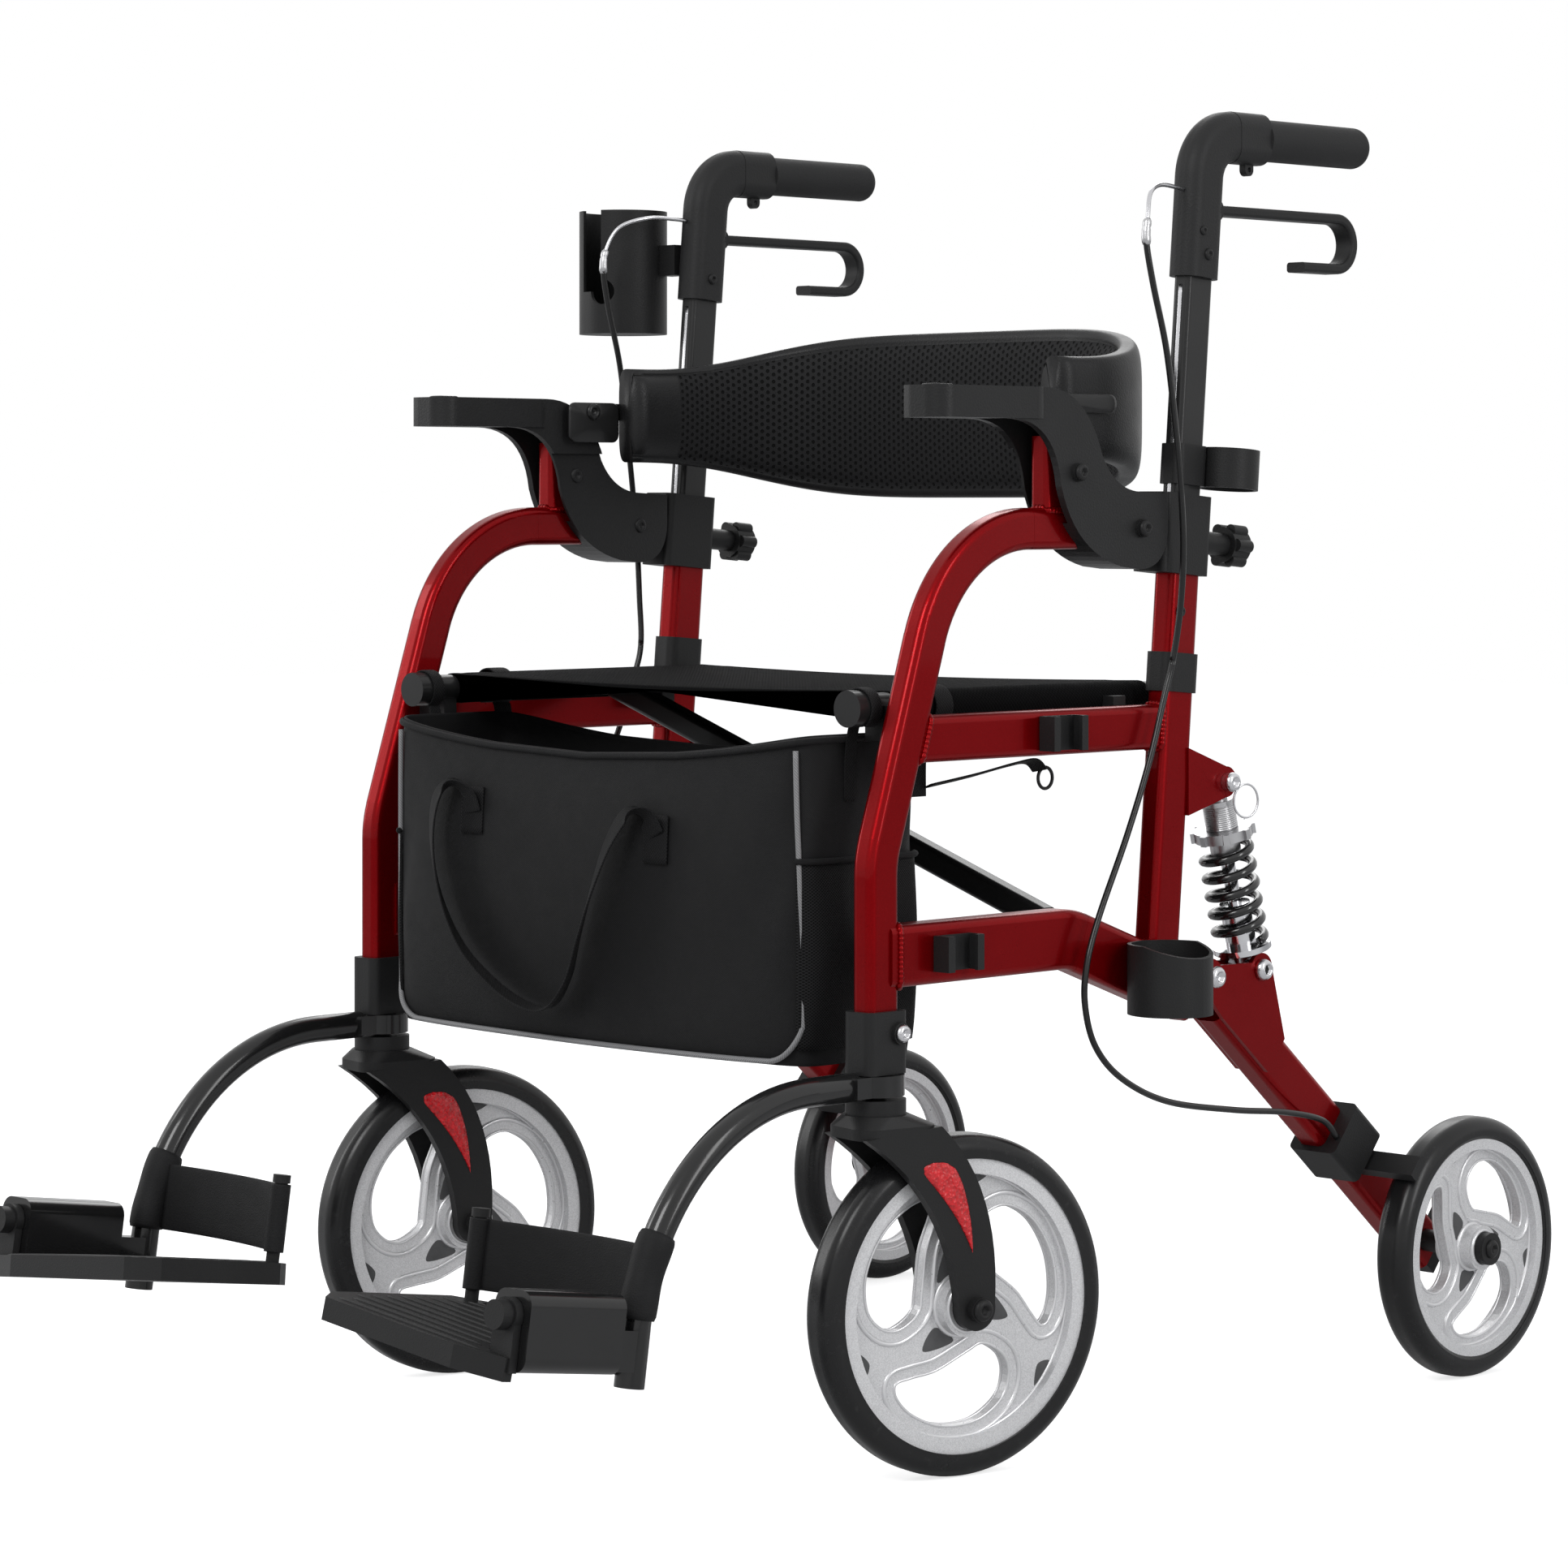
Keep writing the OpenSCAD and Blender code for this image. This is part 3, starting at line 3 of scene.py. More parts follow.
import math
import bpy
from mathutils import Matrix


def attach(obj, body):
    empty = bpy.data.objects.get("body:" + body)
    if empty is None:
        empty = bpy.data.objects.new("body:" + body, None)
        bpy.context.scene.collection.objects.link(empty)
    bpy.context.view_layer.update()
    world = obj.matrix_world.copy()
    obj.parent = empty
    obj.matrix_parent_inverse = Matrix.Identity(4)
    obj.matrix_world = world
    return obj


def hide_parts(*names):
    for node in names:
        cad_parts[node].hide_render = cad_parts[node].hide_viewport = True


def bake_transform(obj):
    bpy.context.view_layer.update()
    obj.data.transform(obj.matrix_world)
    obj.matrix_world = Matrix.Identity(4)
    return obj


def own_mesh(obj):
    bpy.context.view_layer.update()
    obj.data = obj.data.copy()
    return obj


bl_info = {
    "name": "Rollator Transport Chair",
    "version": (1, 0, 0),
    "blender": (4, 5, 0),
    "location": "View3D > Sidebar > Chair",
    "description": "Finishes, soft goods, cables and stage for a folding rollator transport chair",
    "category": "Object",
}

from functools import cache, partial, partialmethod

import bpy
import numpy as np
from bpy.props import FloatProperty, FloatVectorProperty, IntProperty, PointerProperty

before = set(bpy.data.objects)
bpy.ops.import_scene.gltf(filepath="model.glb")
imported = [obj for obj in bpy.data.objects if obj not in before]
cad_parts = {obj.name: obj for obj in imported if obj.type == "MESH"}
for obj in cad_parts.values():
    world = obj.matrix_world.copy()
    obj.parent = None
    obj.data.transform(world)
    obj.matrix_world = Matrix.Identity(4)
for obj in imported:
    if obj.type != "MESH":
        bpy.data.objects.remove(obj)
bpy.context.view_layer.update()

# The frame's origin lies under the middle of the chair's box; sizes here are mm from the caster stems
SHIFT = np.array([15.25, -179.75, 0.0])
MM = 1000.0
FRAME_X = 275.0
SIDES = (("right", 1), ("left", -1))
X_WAY, Y_WAY, Z_WAY = (1, 0, 0), (0, 1, 0), (0, 0, 1)

# Sizes shared with the solids; pairs are places along the chair and up
POST_LEAN = math.radians(4.9)
POST_FOOT = (311.0, 369.0)
PIVOT = (356.0, 340.0)
SHOCK_TOP = np.array([380.0, 489.0])
SHOCK_FOOT = np.array([418.0, 341.0])
CASTER_TURN = math.radians(-12.0)
CASTER_WAY = np.array([math.cos(CASTER_TURN), math.sin(CASTER_TURN), 0.0])
CASTER_TRAIL = 70.0
FRONT_R = 124.0
REAR_R = 104.5
REAR_Y = 635.0
WHEEL_OUT = 52.0
FOOT_PITCH = math.radians(8.5)
FOOT_AXIS = (-300.0, 160.0)
SEAT_X, SEAT_Z = 242.5, 556.0


def row(points):
    """Millimetres from the caster stems to metres in the frame's axes."""
    return (np.asarray(points, float) + SHIFT) / MM


def on_side(points, s):
    """Points given from one side frame's plane, +x outwards, placed on side s."""
    p = np.array(points, float)
    p[..., 0] = s * (FRAME_X + p[..., 0])
    return p


def post_y(z):
    """Place along the chair of the leaning rear post's axis at height z."""
    return POST_FOOT[0] + (np.asarray(z, float) - POST_FOOT[1]) * math.tan(POST_LEAN)


# Arrays and meshes


def unit(v):
    """Directions of length one."""
    return v / np.linalg.norm(v, axis=-1, keepdims=True)


def coords(*columns):
    """Coordinates, spread to one shape, as points."""
    return np.stack(np.broadcast_arrays(*columns), -1)


def turns(n):
    """n even angles round one turn."""
    return 2 * np.pi * np.arange(n) / n


def signed(v, power):
    """A power of each value's size that keeps its sign."""
    return np.sign(v) * np.abs(v) ** power


def run_length(rows):
    """Distance along the rows from the first one; in a grid, the mean of its columns."""
    step = np.linalg.norm(np.diff(rows, axis=0), axis=-1)
    return np.concatenate([[0], np.cumsum(step.reshape(len(step), -1).mean(axis=1))])


def catmull(a, b, c, d, steps):
    """Points from b up to c of the Catmull-Rom curves through rows of points a, b, c and d."""
    t = (np.arange(steps) / steps)[None, :, None]
    a, b, c, d = (q[:, None] for q in (a, b, c, d))
    line = 0.5 * (2 * b + (c - a) * t + (2 * a - 5 * b + 4 * c - d) * t**2 + (3 * b - a - 3 * c + d) * t**3)
    return line.reshape(-1, b.shape[-1])


def smooth_line(points, steps):
    """A Catmull-Rom line through the points with a fixed number of steps between two of them."""
    p = np.asarray(points, float)
    q = np.vstack([p[:1], p, p[-1:]])
    return np.vstack([catmull(q[:-3], q[1:-2], q[2:-1], q[3:], steps), p[-1:]])


def closed_line(points, steps):
    """A Catmull-Rom line through the points that closes on its first one."""
    return catmull(*(np.roll(points, k, 0) for k in (1, 0, -1, -2)), steps)


def bezier(p, c, q, n):
    """n points of a quadratic curve from p to q that leaves towards c."""
    t = np.linspace(0, 1, n)[:, None]
    p, c, q = (np.asarray(v, float) for v in (p, c, q))
    return (1 - t) ** 2 * p + 2 * t * (1 - t) * c + t**2 * q


def rounded_outline(w, h, r, n=8):
    """The outline of a w by h rectangle with corner radius r, as points counter-clockwise."""
    a = np.linspace(0, np.pi / 2, n)[None, :] + np.pi / 2 * np.arange(4)[:, None]
    x = (w / 2 - r) * np.array([1, -1, -1, 1])[:, None] + r * np.cos(a)
    y = (h / 2 - r) * np.array([1, 1, -1, -1])[:, None] + r * np.sin(a)
    return coords(x.ravel(), y.ravel())


def skin(grid, close_n=False, caps=True, uv=None):
    """A grid of points as one part: vertices, quads, triangles and a place on the surface for each vertex.
    Rows are carried along the piece and columns go round it; open ends get a fan to the ring's middle."""
    g = np.asarray(grid, float)
    n, m = g.shape[:2]
    verts = g.reshape(-1, 3)
    i = m * np.arange(n if close_n else n - 1)[:, None]
    j = np.arange(m)
    i2, j2 = (i + m) % (n * m), (j + 1) % m
    quads = coords(i + j, i + j2, i2 + j2, i2 + j).reshape(-1, 4)
    fans = np.empty((0, 3), int)
    if uv is None:
        uv = coords(run_length(g.swapaxes(0, 1))[None, :], run_length(g)[:, None])
    uv = np.asarray(uv, float).reshape(-1, 2)
    if caps and not close_n:
        last = (n - 1) * m
        fans = np.vstack([coords(n * m, j2, j), coords(n * m + 1, last + j, last + j2)])
        verts = np.vstack([verts, g[0].mean(axis=0), g[-1].mean(axis=0)])
        uv = np.vstack([uv, uv[[0, -1]]])
    return verts, quads, fans, uv


def tube(path, radius, sides=12, side_way=X_WAY, closed=False):
    """A circle of the given radius, or of one radius for each point, carried along a path.
    The circle lies in two directions across the path, from its tangent and a fixed side direction."""
    p = np.asarray(path, float)
    t = unit(np.roll(p, -1, 0) - np.roll(p, 1, 0)) if closed else unit(np.gradient(p, axis=0))
    n1 = unit(np.cross(t, np.asarray(side_way, float)))
    n2 = np.cross(t, n1)
    a = turns(sides)[None, :, None]
    r = np.broadcast_to(np.asarray(radius, float), (len(p),))[:, None, None]
    return skin(p[:, None] + r * (np.cos(a) * n1[:, None] + np.sin(a) * n2[:, None]), close_n=closed)


def band(path, width, thick, side_way):
    """A flat strap carried along a path: an oval section, wide along side_way and thick across it."""
    p = np.asarray(path, float)
    t = unit(np.gradient(p, axis=0))
    w = np.broadcast_to(np.asarray(side_way, float), p.shape)
    w = unit(w - (w * t).sum(-1, keepdims=True) * t)
    n = np.cross(t, w)
    a = turns(36)
    x, y = width / 2 * signed(np.cos(a), 0.28), thick / 2 * signed(np.sin(a), 0.45)
    g = p[:, None] + x[None, :, None] * w[:, None] + y[None, :, None] * n[:, None]
    return skin(g, uv=coords(x[None, :], run_length(p)[:, None]))


def turned(radii, heights, centre, axis):
    """Rings round an axis through a centre: a row of radii, one for each angle, at each height."""
    w = unit(np.asarray(axis, float))
    ref = np.array([0.0, 0, 1]) if abs(w[2]) < 0.9 else np.array([1.0, 0, 0])
    u = unit(np.cross(ref, w))
    a = turns(radii.shape[1])[:, None]
    ring = np.cos(a) * u + np.sin(a) * np.cross(w, u)
    return np.asarray(centre, float) + heights[:, None, None] * w + radii[..., None] * ring


def lathe(profile, centre, axis, segments=32):
    """A profile of (radius, height) pairs turned round an axis through a centre."""
    radii, heights = np.asarray(profile, float).T
    return skin(turned(np.repeat(radii[:, None], segments, 1), heights, centre, axis))


# Profile of a screw head from its socket to its foot, in shares of its radius and height
HEAD = np.array([(0, 0.35), (0.44, 0.35), (0.5, 0.97), (0.62, 1), (0.86, 0.82), (1, 0.35), (1, 0), (0, 0)])
SOCKET_RINGS = 3


def screw_head(centre, axis, r, h):
    """A domed head with a hexagonal socket: a turned profile whose inner rings are squeezed to six sides."""
    radii, heights = (HEAD * (r, h)).T
    sixth = math.pi / 3
    hexa = math.cos(sixth / 2) / np.cos(turns(48) % sixth - sixth / 2)
    squeeze = np.where(np.arange(len(HEAD))[:, None] < SOCKET_RINGS, hexa[None, :], 1.0)
    return skin(turned(radii[:, None] * squeeze, heights, centre, axis), caps=False)


def plate(outline, xs, shares):
    """A flat plate across X: its outline in (y, z), drawn at each x in its share of the full size."""
    mid = outline.mean(0)
    yz = mid + (outline - mid)[None] * np.asarray(shares)[:, None, None]
    return coords(np.asarray(xs)[:, None], yz[..., 0], yz[..., 1])


def outward(verts, quads, fans):
    """The faces turned so that the closed shape's volume is positive."""
    tri = np.vstack([quads[:, :3], quads[:, [0, 2, 3]], fans])
    a, b, c = (verts[tri[:, k]] - verts.mean(0) for k in range(3))
    if np.einsum("ij,ij->", a, np.cross(b, c)) < 0:
        return quads[:, ::-1], fans[:, ::-1]
    return quads, fans


def placed(name, data):
    """A new object with this data, linked to the scene."""
    obj = bpy.data.objects.new(name, data)
    bpy.context.collection.objects.link(obj)
    return obj


def piece(name, parts, finish, body=None):
    """One object made of closed parts, given in millimetres, with one finish or a tuple of them."""
    faces, start = [], 0
    for verts, quads, fans, _ in parts:
        for group in outward(verts, quads, fans):
            faces += (group + start).tolist()
        start += len(verts)
    mesh = bpy.data.meshes.new(name)
    mesh.from_pydata(row(np.vstack([part[0] for part in parts])).tolist(), [], faces)
    uv_layer = mesh.uv_layers.new(name="cloth")
    index = np.empty(len(mesh.loops), np.int32)
    mesh.loops.foreach_get("vertex_index", index)
    uv_layer.data.foreach_set("uv", (np.vstack([part[3] for part in parts])[index] / MM).ravel())
    mesh.polygons.foreach_set("use_smooth", np.full(len(mesh.polygons), True))
    mesh.update()
    for material in finish if isinstance(finish, tuple) else (finish,):
        mesh.materials.append(material)
    obj = placed(name, mesh)
    if body:
        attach(obj, body)
    return obj


# Shader maths


class Val:
    """A node's output; the operators add Math nodes."""

    def __init__(self, graph, socket):
        self.graph, self.socket = graph, socket

    def math(self, op, *others, swap=False):
        """A Math node on this value and the others, with the others first where swapped."""
        ins = [*others, self] if swap else [self, *others]
        return self.graph.node("Math", {"operation": op}, dict(enumerate(ins)))

    __add__ = __radd__ = partialmethod(math, "ADD")
    __sub__ = partialmethod(math, "SUBTRACT")
    __rsub__ = partialmethod(math, "SUBTRACT", swap=True)
    __mul__ = __rmul__ = partialmethod(math, "MULTIPLY")
    cos = partialmethod(math, "COSINE")
    sin = partialmethod(math, "SINE")

    def ramp(self, low, high):
        """0 below low and 1 above high, with a soft step between."""
        return self.graph.node("MapRange", {"interpolation_type": "SMOOTHSTEP"},
                               {"Value": self, "From Min": low, "From Max": high})


class Graph:
    """The emptied node tree of a material or world, and short ways to fill it."""

    def __init__(self, owner):
        owner.use_nodes = True
        self.tree = owner.node_tree
        self.tree.nodes.clear()

    def node(self, kind, settings=None, inputs=None, output=0):
        """Adds a node: its settings first, then its sockets' values or links. Gives back one output."""
        n = self.tree.nodes.new("ShaderNode" + kind)
        for key, value in (settings or {}).items():
            setattr(n, key, value)
        for key, value in (inputs or {}).items():
            if isinstance(value, Val):
                self.tree.links.new(value.socket, n.inputs[key])
            else:
                n.inputs[key].default_value = value
        return Val(self, n.outputs[output])

    def end(self, kind, surface):
        """Adds the output node and links the surface to it."""
        self.tree.links.new(surface.socket, self.tree.nodes.new("ShaderNode" + kind).inputs[0])

    def ray(self, kind):
        """1 for rays of that kind and 0 for others."""
        return self.node("LightPath", output=f"Is {kind} Ray")


def rgba(colour):
    """A colour for a socket: a link as it is, or three shares with full opacity."""
    return colour if isinstance(colour, Val) else (*colour, 1.0)


def label(key):
    """A Principled socket's name from a keyword."""
    return key.replace("_", " ").title().replace("Ior", "IOR")


class Shade(Graph):
    """One material: a Principled surface, its fixed values and the nodes that feed it."""

    def __init__(self, name, **fixed):
        self.material = bpy.data.materials.new(name)
        super().__init__(self.material)
        surface = self.node("BsdfPrincipled")
        self.sockets = surface.socket.node.inputs
        self.end("OutputMaterial", surface)
        for key, value in fixed.items():
            self.sockets[label(key)].default_value = value

    def feed(self, **links):
        """Links values to the surface and gives back the finished material."""
        for key, value in links.items():
            self.tree.links.new(value.socket, self.sockets[label(key)])
        return self.material

    def spot(self):
        """Object coordinates in metres."""
        return self.node("TexCoord", output="Object")

    def cloth(self):
        """The two places of the piece's own UV map, in metres along the cloth."""
        return self.parts(self.node("UVMap", {"uv_map": "cloth"}))[:2]

    def parts(self, vector):
        """The three numbers of a vector or colour."""
        split = self.node("SeparateXYZ", None, {0: vector})
        return [Val(self, socket) for socket in split.socket.node.outputs]

    def noise(self, vector, scale, detail=3.0, rough=0.5):
        """Cloudy noise from 0 to 1."""
        return self.node("TexNoise", None,
                         {"Vector": vector, "Scale": scale, "Detail": detail, "Roughness": rough})

    def cells(self, vector, scale, feature="F1", output="Distance"):
        """Cells round scattered points: distance from the nearest one, or a colour for each cell."""
        return self.node("TexVoronoi", {"feature": feature}, {"Vector": vector, "Scale": scale}, output)

    def mix(self, factor, a, b):
        """A colour from a to b as the factor goes from 0 to 1."""
        return self.node("Mix", {"data_type": "RGBA"}, {0: factor, 6: rgba(a), 7: rgba(b)}, 2)

    def bump(self, height, strength, distance, below=None):
        """A normal tilted by a height, on top of another one where given."""
        ins = {"Height": height, "Strength": strength, "Distance": distance}
        if below is not None:
            ins["Normal"] = below
        return self.node("Bump", None, ins)


# Finishes: each is made at its first call and handed out again after that


def colour_of(key):
    """One of the chair's colours as it is set."""
    return np.array(getattr(bpy.context.scene.chair_finish, key)[:])


@cache
def red_paint():
    """Deep metallic red under a clear coat: fine flakes lifted brighter in the base colour as a painted
    glint, a slow drift of tone and a faint orange peel.
    """
    base = colour_of("frame_red")
    m = Shade("red_paint", metallic=0.6, coat_roughness=0.04, coat_ior=1.5, specular_ior_level=0.05)
    p = m.spot()
    # Painted glint: scattered flake cells are mixed towards a brighter red in the base colour
    glint = m.parts(m.cells(p, 2400.0, output="Color"))[0].ramp(0.55, 1.0)
    tone = m.mix(m.noise(p, 7.0, 2.0), base * 0.78, base * 1.12)
    return m.feed(base_color=m.mix(glint * 0.3, tone, base * 1.6 + 0.004),
                  roughness=0.24 + 0.1 * m.noise(p, 60.0),
                  coat_weight=0.13 - 0.04 * m.noise(p, 25.0),
                  normal=m.bump(m.noise(p, 260.0, 1.0), 0.05, 0.0006))


@cache
def black_moulding(name, tone, rough, grain, depth, spread=0.12):
    """Moulded plastic: pebbled grain at the given scale with slightly shinier crests."""
    m = Shade(name, specular_ior_level=0.2)
    p = m.spot()
    wear = m.noise(p, 18.0, 4.0)
    base = colour_of("plastic_black") * tone
    return m.feed(base_color=m.mix(wear, base * 0.85, base * 1.35),
                  roughness=rough - spread / 2 + spread * wear,
                  normal=m.bump(m.cells(p, grain, "SMOOTH_F1"), 0.35, depth))


satin_black = partial(black_moulding, "satin_black", 1.0, 0.46, 900.0, 0.00025)
shell_black = partial(black_moulding, "shell_black", 1.25, 0.52, 700.0, 0.0004)
grip_rubber = partial(black_moulding, "grip_rubber", 1.5, 0.68, 1100.0, 0.0006, 0.08)
arm_black = partial(black_moulding, "arm_black", 1.15, 0.42, 650.0, 0.0003)


@cache
def coated_tube(name, tone, rough, coat):
    """Powder coated tube: fine orange peel and a soft clear layer."""
    m = Shade(name, coat_roughness=0.12, specular_ior_level=0.2)
    p = m.spot()
    base = colour_of("plastic_black") * tone
    return m.feed(base_color=m.mix(m.noise(p, 12.0, 3.0), base * 0.85, base * 1.2),
                  roughness=rough + 0.08 * m.noise(p, 90.0),
                  coat_weight=coat + 0.1 * m.noise(p, 30.0),
                  normal=m.bump(m.noise(p, 600.0, 2.0), 0.12, 0.0004))


gloss_tube = partial(coated_tube, "gloss_tube", 0.7, 0.2, 0.4)
post_black = partial(coated_tube, "post_black", 1.0, 0.34, 0.15)
spring_black = partial(coated_tube, "spring_black", 0.55, 0.16, 0.7)
cable_black = partial(coated_tube, "cable_black", 0.7, 0.3, 0.25)


@cache
def tyre_black():
    """Smooth poured tyre: near black, glossy, with a slight haze and fine scuffs."""
    m = Shade("tyre_black", specular_ior_level=0.3, coat_roughness=0.2)
    p = m.spot()
    scuff = m.noise(p, 140.0, 6.0, 0.65).ramp(0.55, 0.8)
    return m.feed(base_color=m.mix(scuff * 0.6, (0.0085, 0.0085, 0.009), (0.03, 0.03, 0.031)),
                  roughness=0.2 + 0.14 * m.noise(p, 9.0, 3.0) + 0.12 * scuff,
                  normal=m.bump(m.noise(p, 420.0, 2.0), 0.06, 0.0004))


@cache
def rim_silver():
    """Silver painted casting: speckled metallic paint over a lightly pitted skin."""
    base = colour_of("rim_silver")
    m = Shade("rim_silver", metallic=0.35, specular_ior_level=0.5)
    p = m.spot()
    speck = m.parts(m.cells(p, 1500.0, output="Color"))[0]
    return m.feed(base_color=m.mix(speck, base * 0.86, np.minimum(base * 1.12, 1.0)),
                  roughness=0.36 + 0.14 * m.noise(p, 120.0, 4.0),
                  normal=m.bump(m.noise(p, 900.0, 3.0, 0.6), 0.25, 0.0004))


@cache
def rim_lip():
    """The smoother raised edge round the rim's windows."""
    base = colour_of("rim_silver")
    m = Shade("rim_lip", metallic=0.5, specular_ior_level=0.5)
    p = m.spot()
    return m.feed(base_color=m.mix(m.noise(p, 40.0), base * 0.95, np.minimum(base * 1.15, 1.0)),
                  roughness=0.24 + 0.1 * m.noise(p, 200.0))


@cache
def rim_shade():
    """Dark grey on the rims' pocket plates: painted shadow in the pockets, with a random drift of tone."""
    m = Shade("rim_shade", specular_ior_level=0.2)
    p = m.spot()
    # Painted shadow: the pocket plates are far darker than the silver rim
    return m.feed(base_color=m.mix(m.noise(p, 70.0), (0.06, 0.06, 0.062), (0.12, 0.12, 0.122)),
                  roughness=0.5 + 0.15 * m.noise(p, 160.0))


@cache
def bare_metal(name, colour, rough, streak):
    """Plated or turned metal with fine streaks in its gloss."""
    m = Shade(name, metallic=1.0)
    p = m.spot()
    fine = m.noise(p, streak, 4.0)
    return m.feed(base_color=m.mix(m.noise(p, 30.0), np.array(colour) * 0.88, colour),
                  roughness=rough + 0.16 * fine,
                  normal=m.bump(fine, 0.05, 0.0002))


bright_steel = partial(bare_metal, "bright_steel", (0.62, 0.62, 0.64), 0.16, 500.0)
chrome_rod = partial(bare_metal, "chrome_rod", (0.68, 0.68, 0.7), 0.07, 300.0)
turned_alloy = partial(bare_metal, "turned_alloy", (0.5, 0.5, 0.51), 0.24, 700.0)


@cache
def red_lens():
    """Prismatic red reflector: small cells behind a glossy face; the cells' random brightness and lighter
    edges in the base colour are painted reflection.
    """
    m = Shade("red_lens", coat_weight=0.4, coat_roughness=0.03, specular_ior_level=0.3)
    p = m.spot()
    cell = m.cells(p, 330.0)
    glow = m.parts(m.cells(p, 330.0, output="Color"))[1]
    # Painted reflection: each prism cell's brightness and its lighter edges are mixed into the base colour
    return m.feed(base_color=m.mix(glow * 0.7 + cell * 0.3, (0.42, 0.004, 0.008), (0.78, 0.012, 0.02)),
                  roughness=0.16 + 0.2 * m.noise(p, 200.0),
                  normal=m.bump(cell, 0.9, 0.0016))


@cache
def woven(name, tone, pitch, rough, twill=True, depth=0.0005, gloss=0.12):
    """Woven nylon: two crossing sets of rounded yarns, the twill ones stepping over by one each row. The
    yarns' crests are painted lighter and the gaps between them darker: painted light and shade.
    """
    m = Shade(name, sheen_weight=0.02, sheen_roughness=0.4, specular_ior_level=gloss)
    u, v = m.cloth()
    base = colour_of("cloth_black") * tone
    k = 2 * math.pi / pitch
    if twill:
        ribs = ((u + v) * k).sin() * 0.6 + ((u - v) * k * 2.0).sin() * 0.4
    else:
        ribs = (u * k).sin() * (v * k).sin()
    height = ribs * 0.5 + 0.5
    p = m.spot()
    crease = m.bump(m.noise(p, 26.0, 4.0, 0.55), 0.22, 0.004)
    # Painted light and shade: the base colour follows the yarn height, lighter on crests and darker in the
    # gaps
    return m.feed(base_color=m.mix(height, base * 0.6, base * 1.3),
                  roughness=rough + 0.15 * m.noise(p, 60.0),
                  normal=m.bump(height, 0.5, depth, crease))


bag_nylon = partial(woven, "bag_nylon", 1.0, 0.0016, 0.5)
webbing = partial(woven, "webbing", 0.9, 0.0026, 0.6, False, 0.0009)
strap_nylon = partial(woven, "strap_nylon", 1.1, 0.0013, 0.55)
seat_weave = partial(woven, "seat_weave", 0.6, 0.0034, 0.75, False, 0.0008, 0.02)


@cache
def grained(name, gloss, grain, depth, drift, tones, rough, spread, drift_rough):
    """Leatherette with a fine closed grain: noise drifts its tone between two shares, and its roughness."""
    m = Shade(name, specular_ior_level=gloss)
    p = m.spot()
    base = colour_of("cloth_black")
    return m.feed(base_color=m.mix(m.noise(p, *drift), base * tones[0], base * tones[1]),
                  roughness=rough + spread * m.noise(p, drift_rough),
                  normal=m.bump(m.cells(p, grain, "SMOOTH_F1"), depth, 0.0004))


strap_vinyl = partial(grained, "strap_vinyl", 0.15, 1100.0, 0.45, (40.0, 4.0), (0.75, 1.35), 0.5, 0.18, 70.0)
vinyl_edge = partial(grained, "vinyl_edge", 0.22, 800.0, 0.4, (30.0,), (0.8, 1.25), 0.34, 0.16, 45.0)


@cache
def spacer_mesh():
    """Spacer mesh over foam: rows of open cells on a hexagonal lattice, from three crossing waves; the open
    cells are painted nearly black as the shade inside them.
    """
    m = Shade("spacer_mesh", sheen_weight=0.02, sheen_roughness=0.5, specular_ior_level=0.12)
    u, v = m.cloth()
    k = 2 * math.pi / 0.0052
    wave = (u * k).cos() + (u * (k / 2) + v * (k * 0.866)).cos() + (u * (k / 2) - v * (k * 0.866)).cos()
    hole = wave.ramp(0.4, 1.6)
    base = colour_of("cloth_black")
    # Painted shade: the open cells are far darker than the mesh round them
    return m.feed(base_color=m.mix(hole, base * 1.35, base * 0.22),
                  roughness=0.62 + 0.2 * hole,
                  normal=m.bump(1.0 - hole, 0.9, 0.0016))


@cache
def pocket_net():
    """Netted pocket cloth: open diamonds that show the black cloth behind them, painted far darker as the
    shade inside the pocket.
    """
    m = Shade("pocket_net", specular_ior_level=0.12)
    u, v = m.cloth()
    k = 2 * math.pi / 0.0045
    cords = [(way * k).sin().math("ABSOLUTE") for way in (u + v, u - v)]
    net = cords[0].math("MINIMUM", cords[1]).ramp(0.3, 0.6)
    base = colour_of("cloth_black")
    # Painted shade: the open diamonds are far darker than the cords and the cloth itself
    return m.feed(base_color=m.mix(net, base * 1.8, base * 0.1),
                  roughness=0.6 + 0.2 * net,
                  normal=m.bump(1.0 - net, 0.8, 0.001))


@cache
def grey_piping():
    """Reflective grey piping with a fine twist; the twist's crests are painted lighter and its grooves
    darker, as painted light and shade.
    """
    m = Shade("grey_piping", specular_ior_level=0.5)
    u, v = m.cloth()
    twist = ((u + v) * (2 * math.pi / 0.0022)).sin() * 0.5 + 0.5
    # Painted light and shade: the colour follows the twist, lighter on its crests and darker in its grooves
    return m.feed(base_color=m.mix(twist, (0.14, 0.14, 0.145), (0.27, 0.27, 0.275)),
                  roughness=0.4 + 0.15 * twist,
                  normal=m.bump(twist, 0.4, 0.0005))


# Settings a user would change

colour = partial(FloatVectorProperty, subtype="COLOR", size=3, min=0, max=1)


class ChairFinish(bpy.types.PropertyGroup):
    """Colours of the chair"""

    frame_red: colour(name="Frame red", description="Base colour of the frame's paint",
                      default=(0.21, 0.0004, 0.002))
    plastic_black: colour(name="Plastic black", description="Base colour of mouldings and coated tubes",
                          default=(0.0125, 0.0125, 0.0128))
    cloth_black: colour(name="Cloth black", description="Base colour of the bag, seat, back and straps",
                        default=(0.0105, 0.0105, 0.011))
    rim_silver: colour(name="Rim silver", description="Base colour of the wheel rims",
                       default=(0.66, 0.66, 0.67))


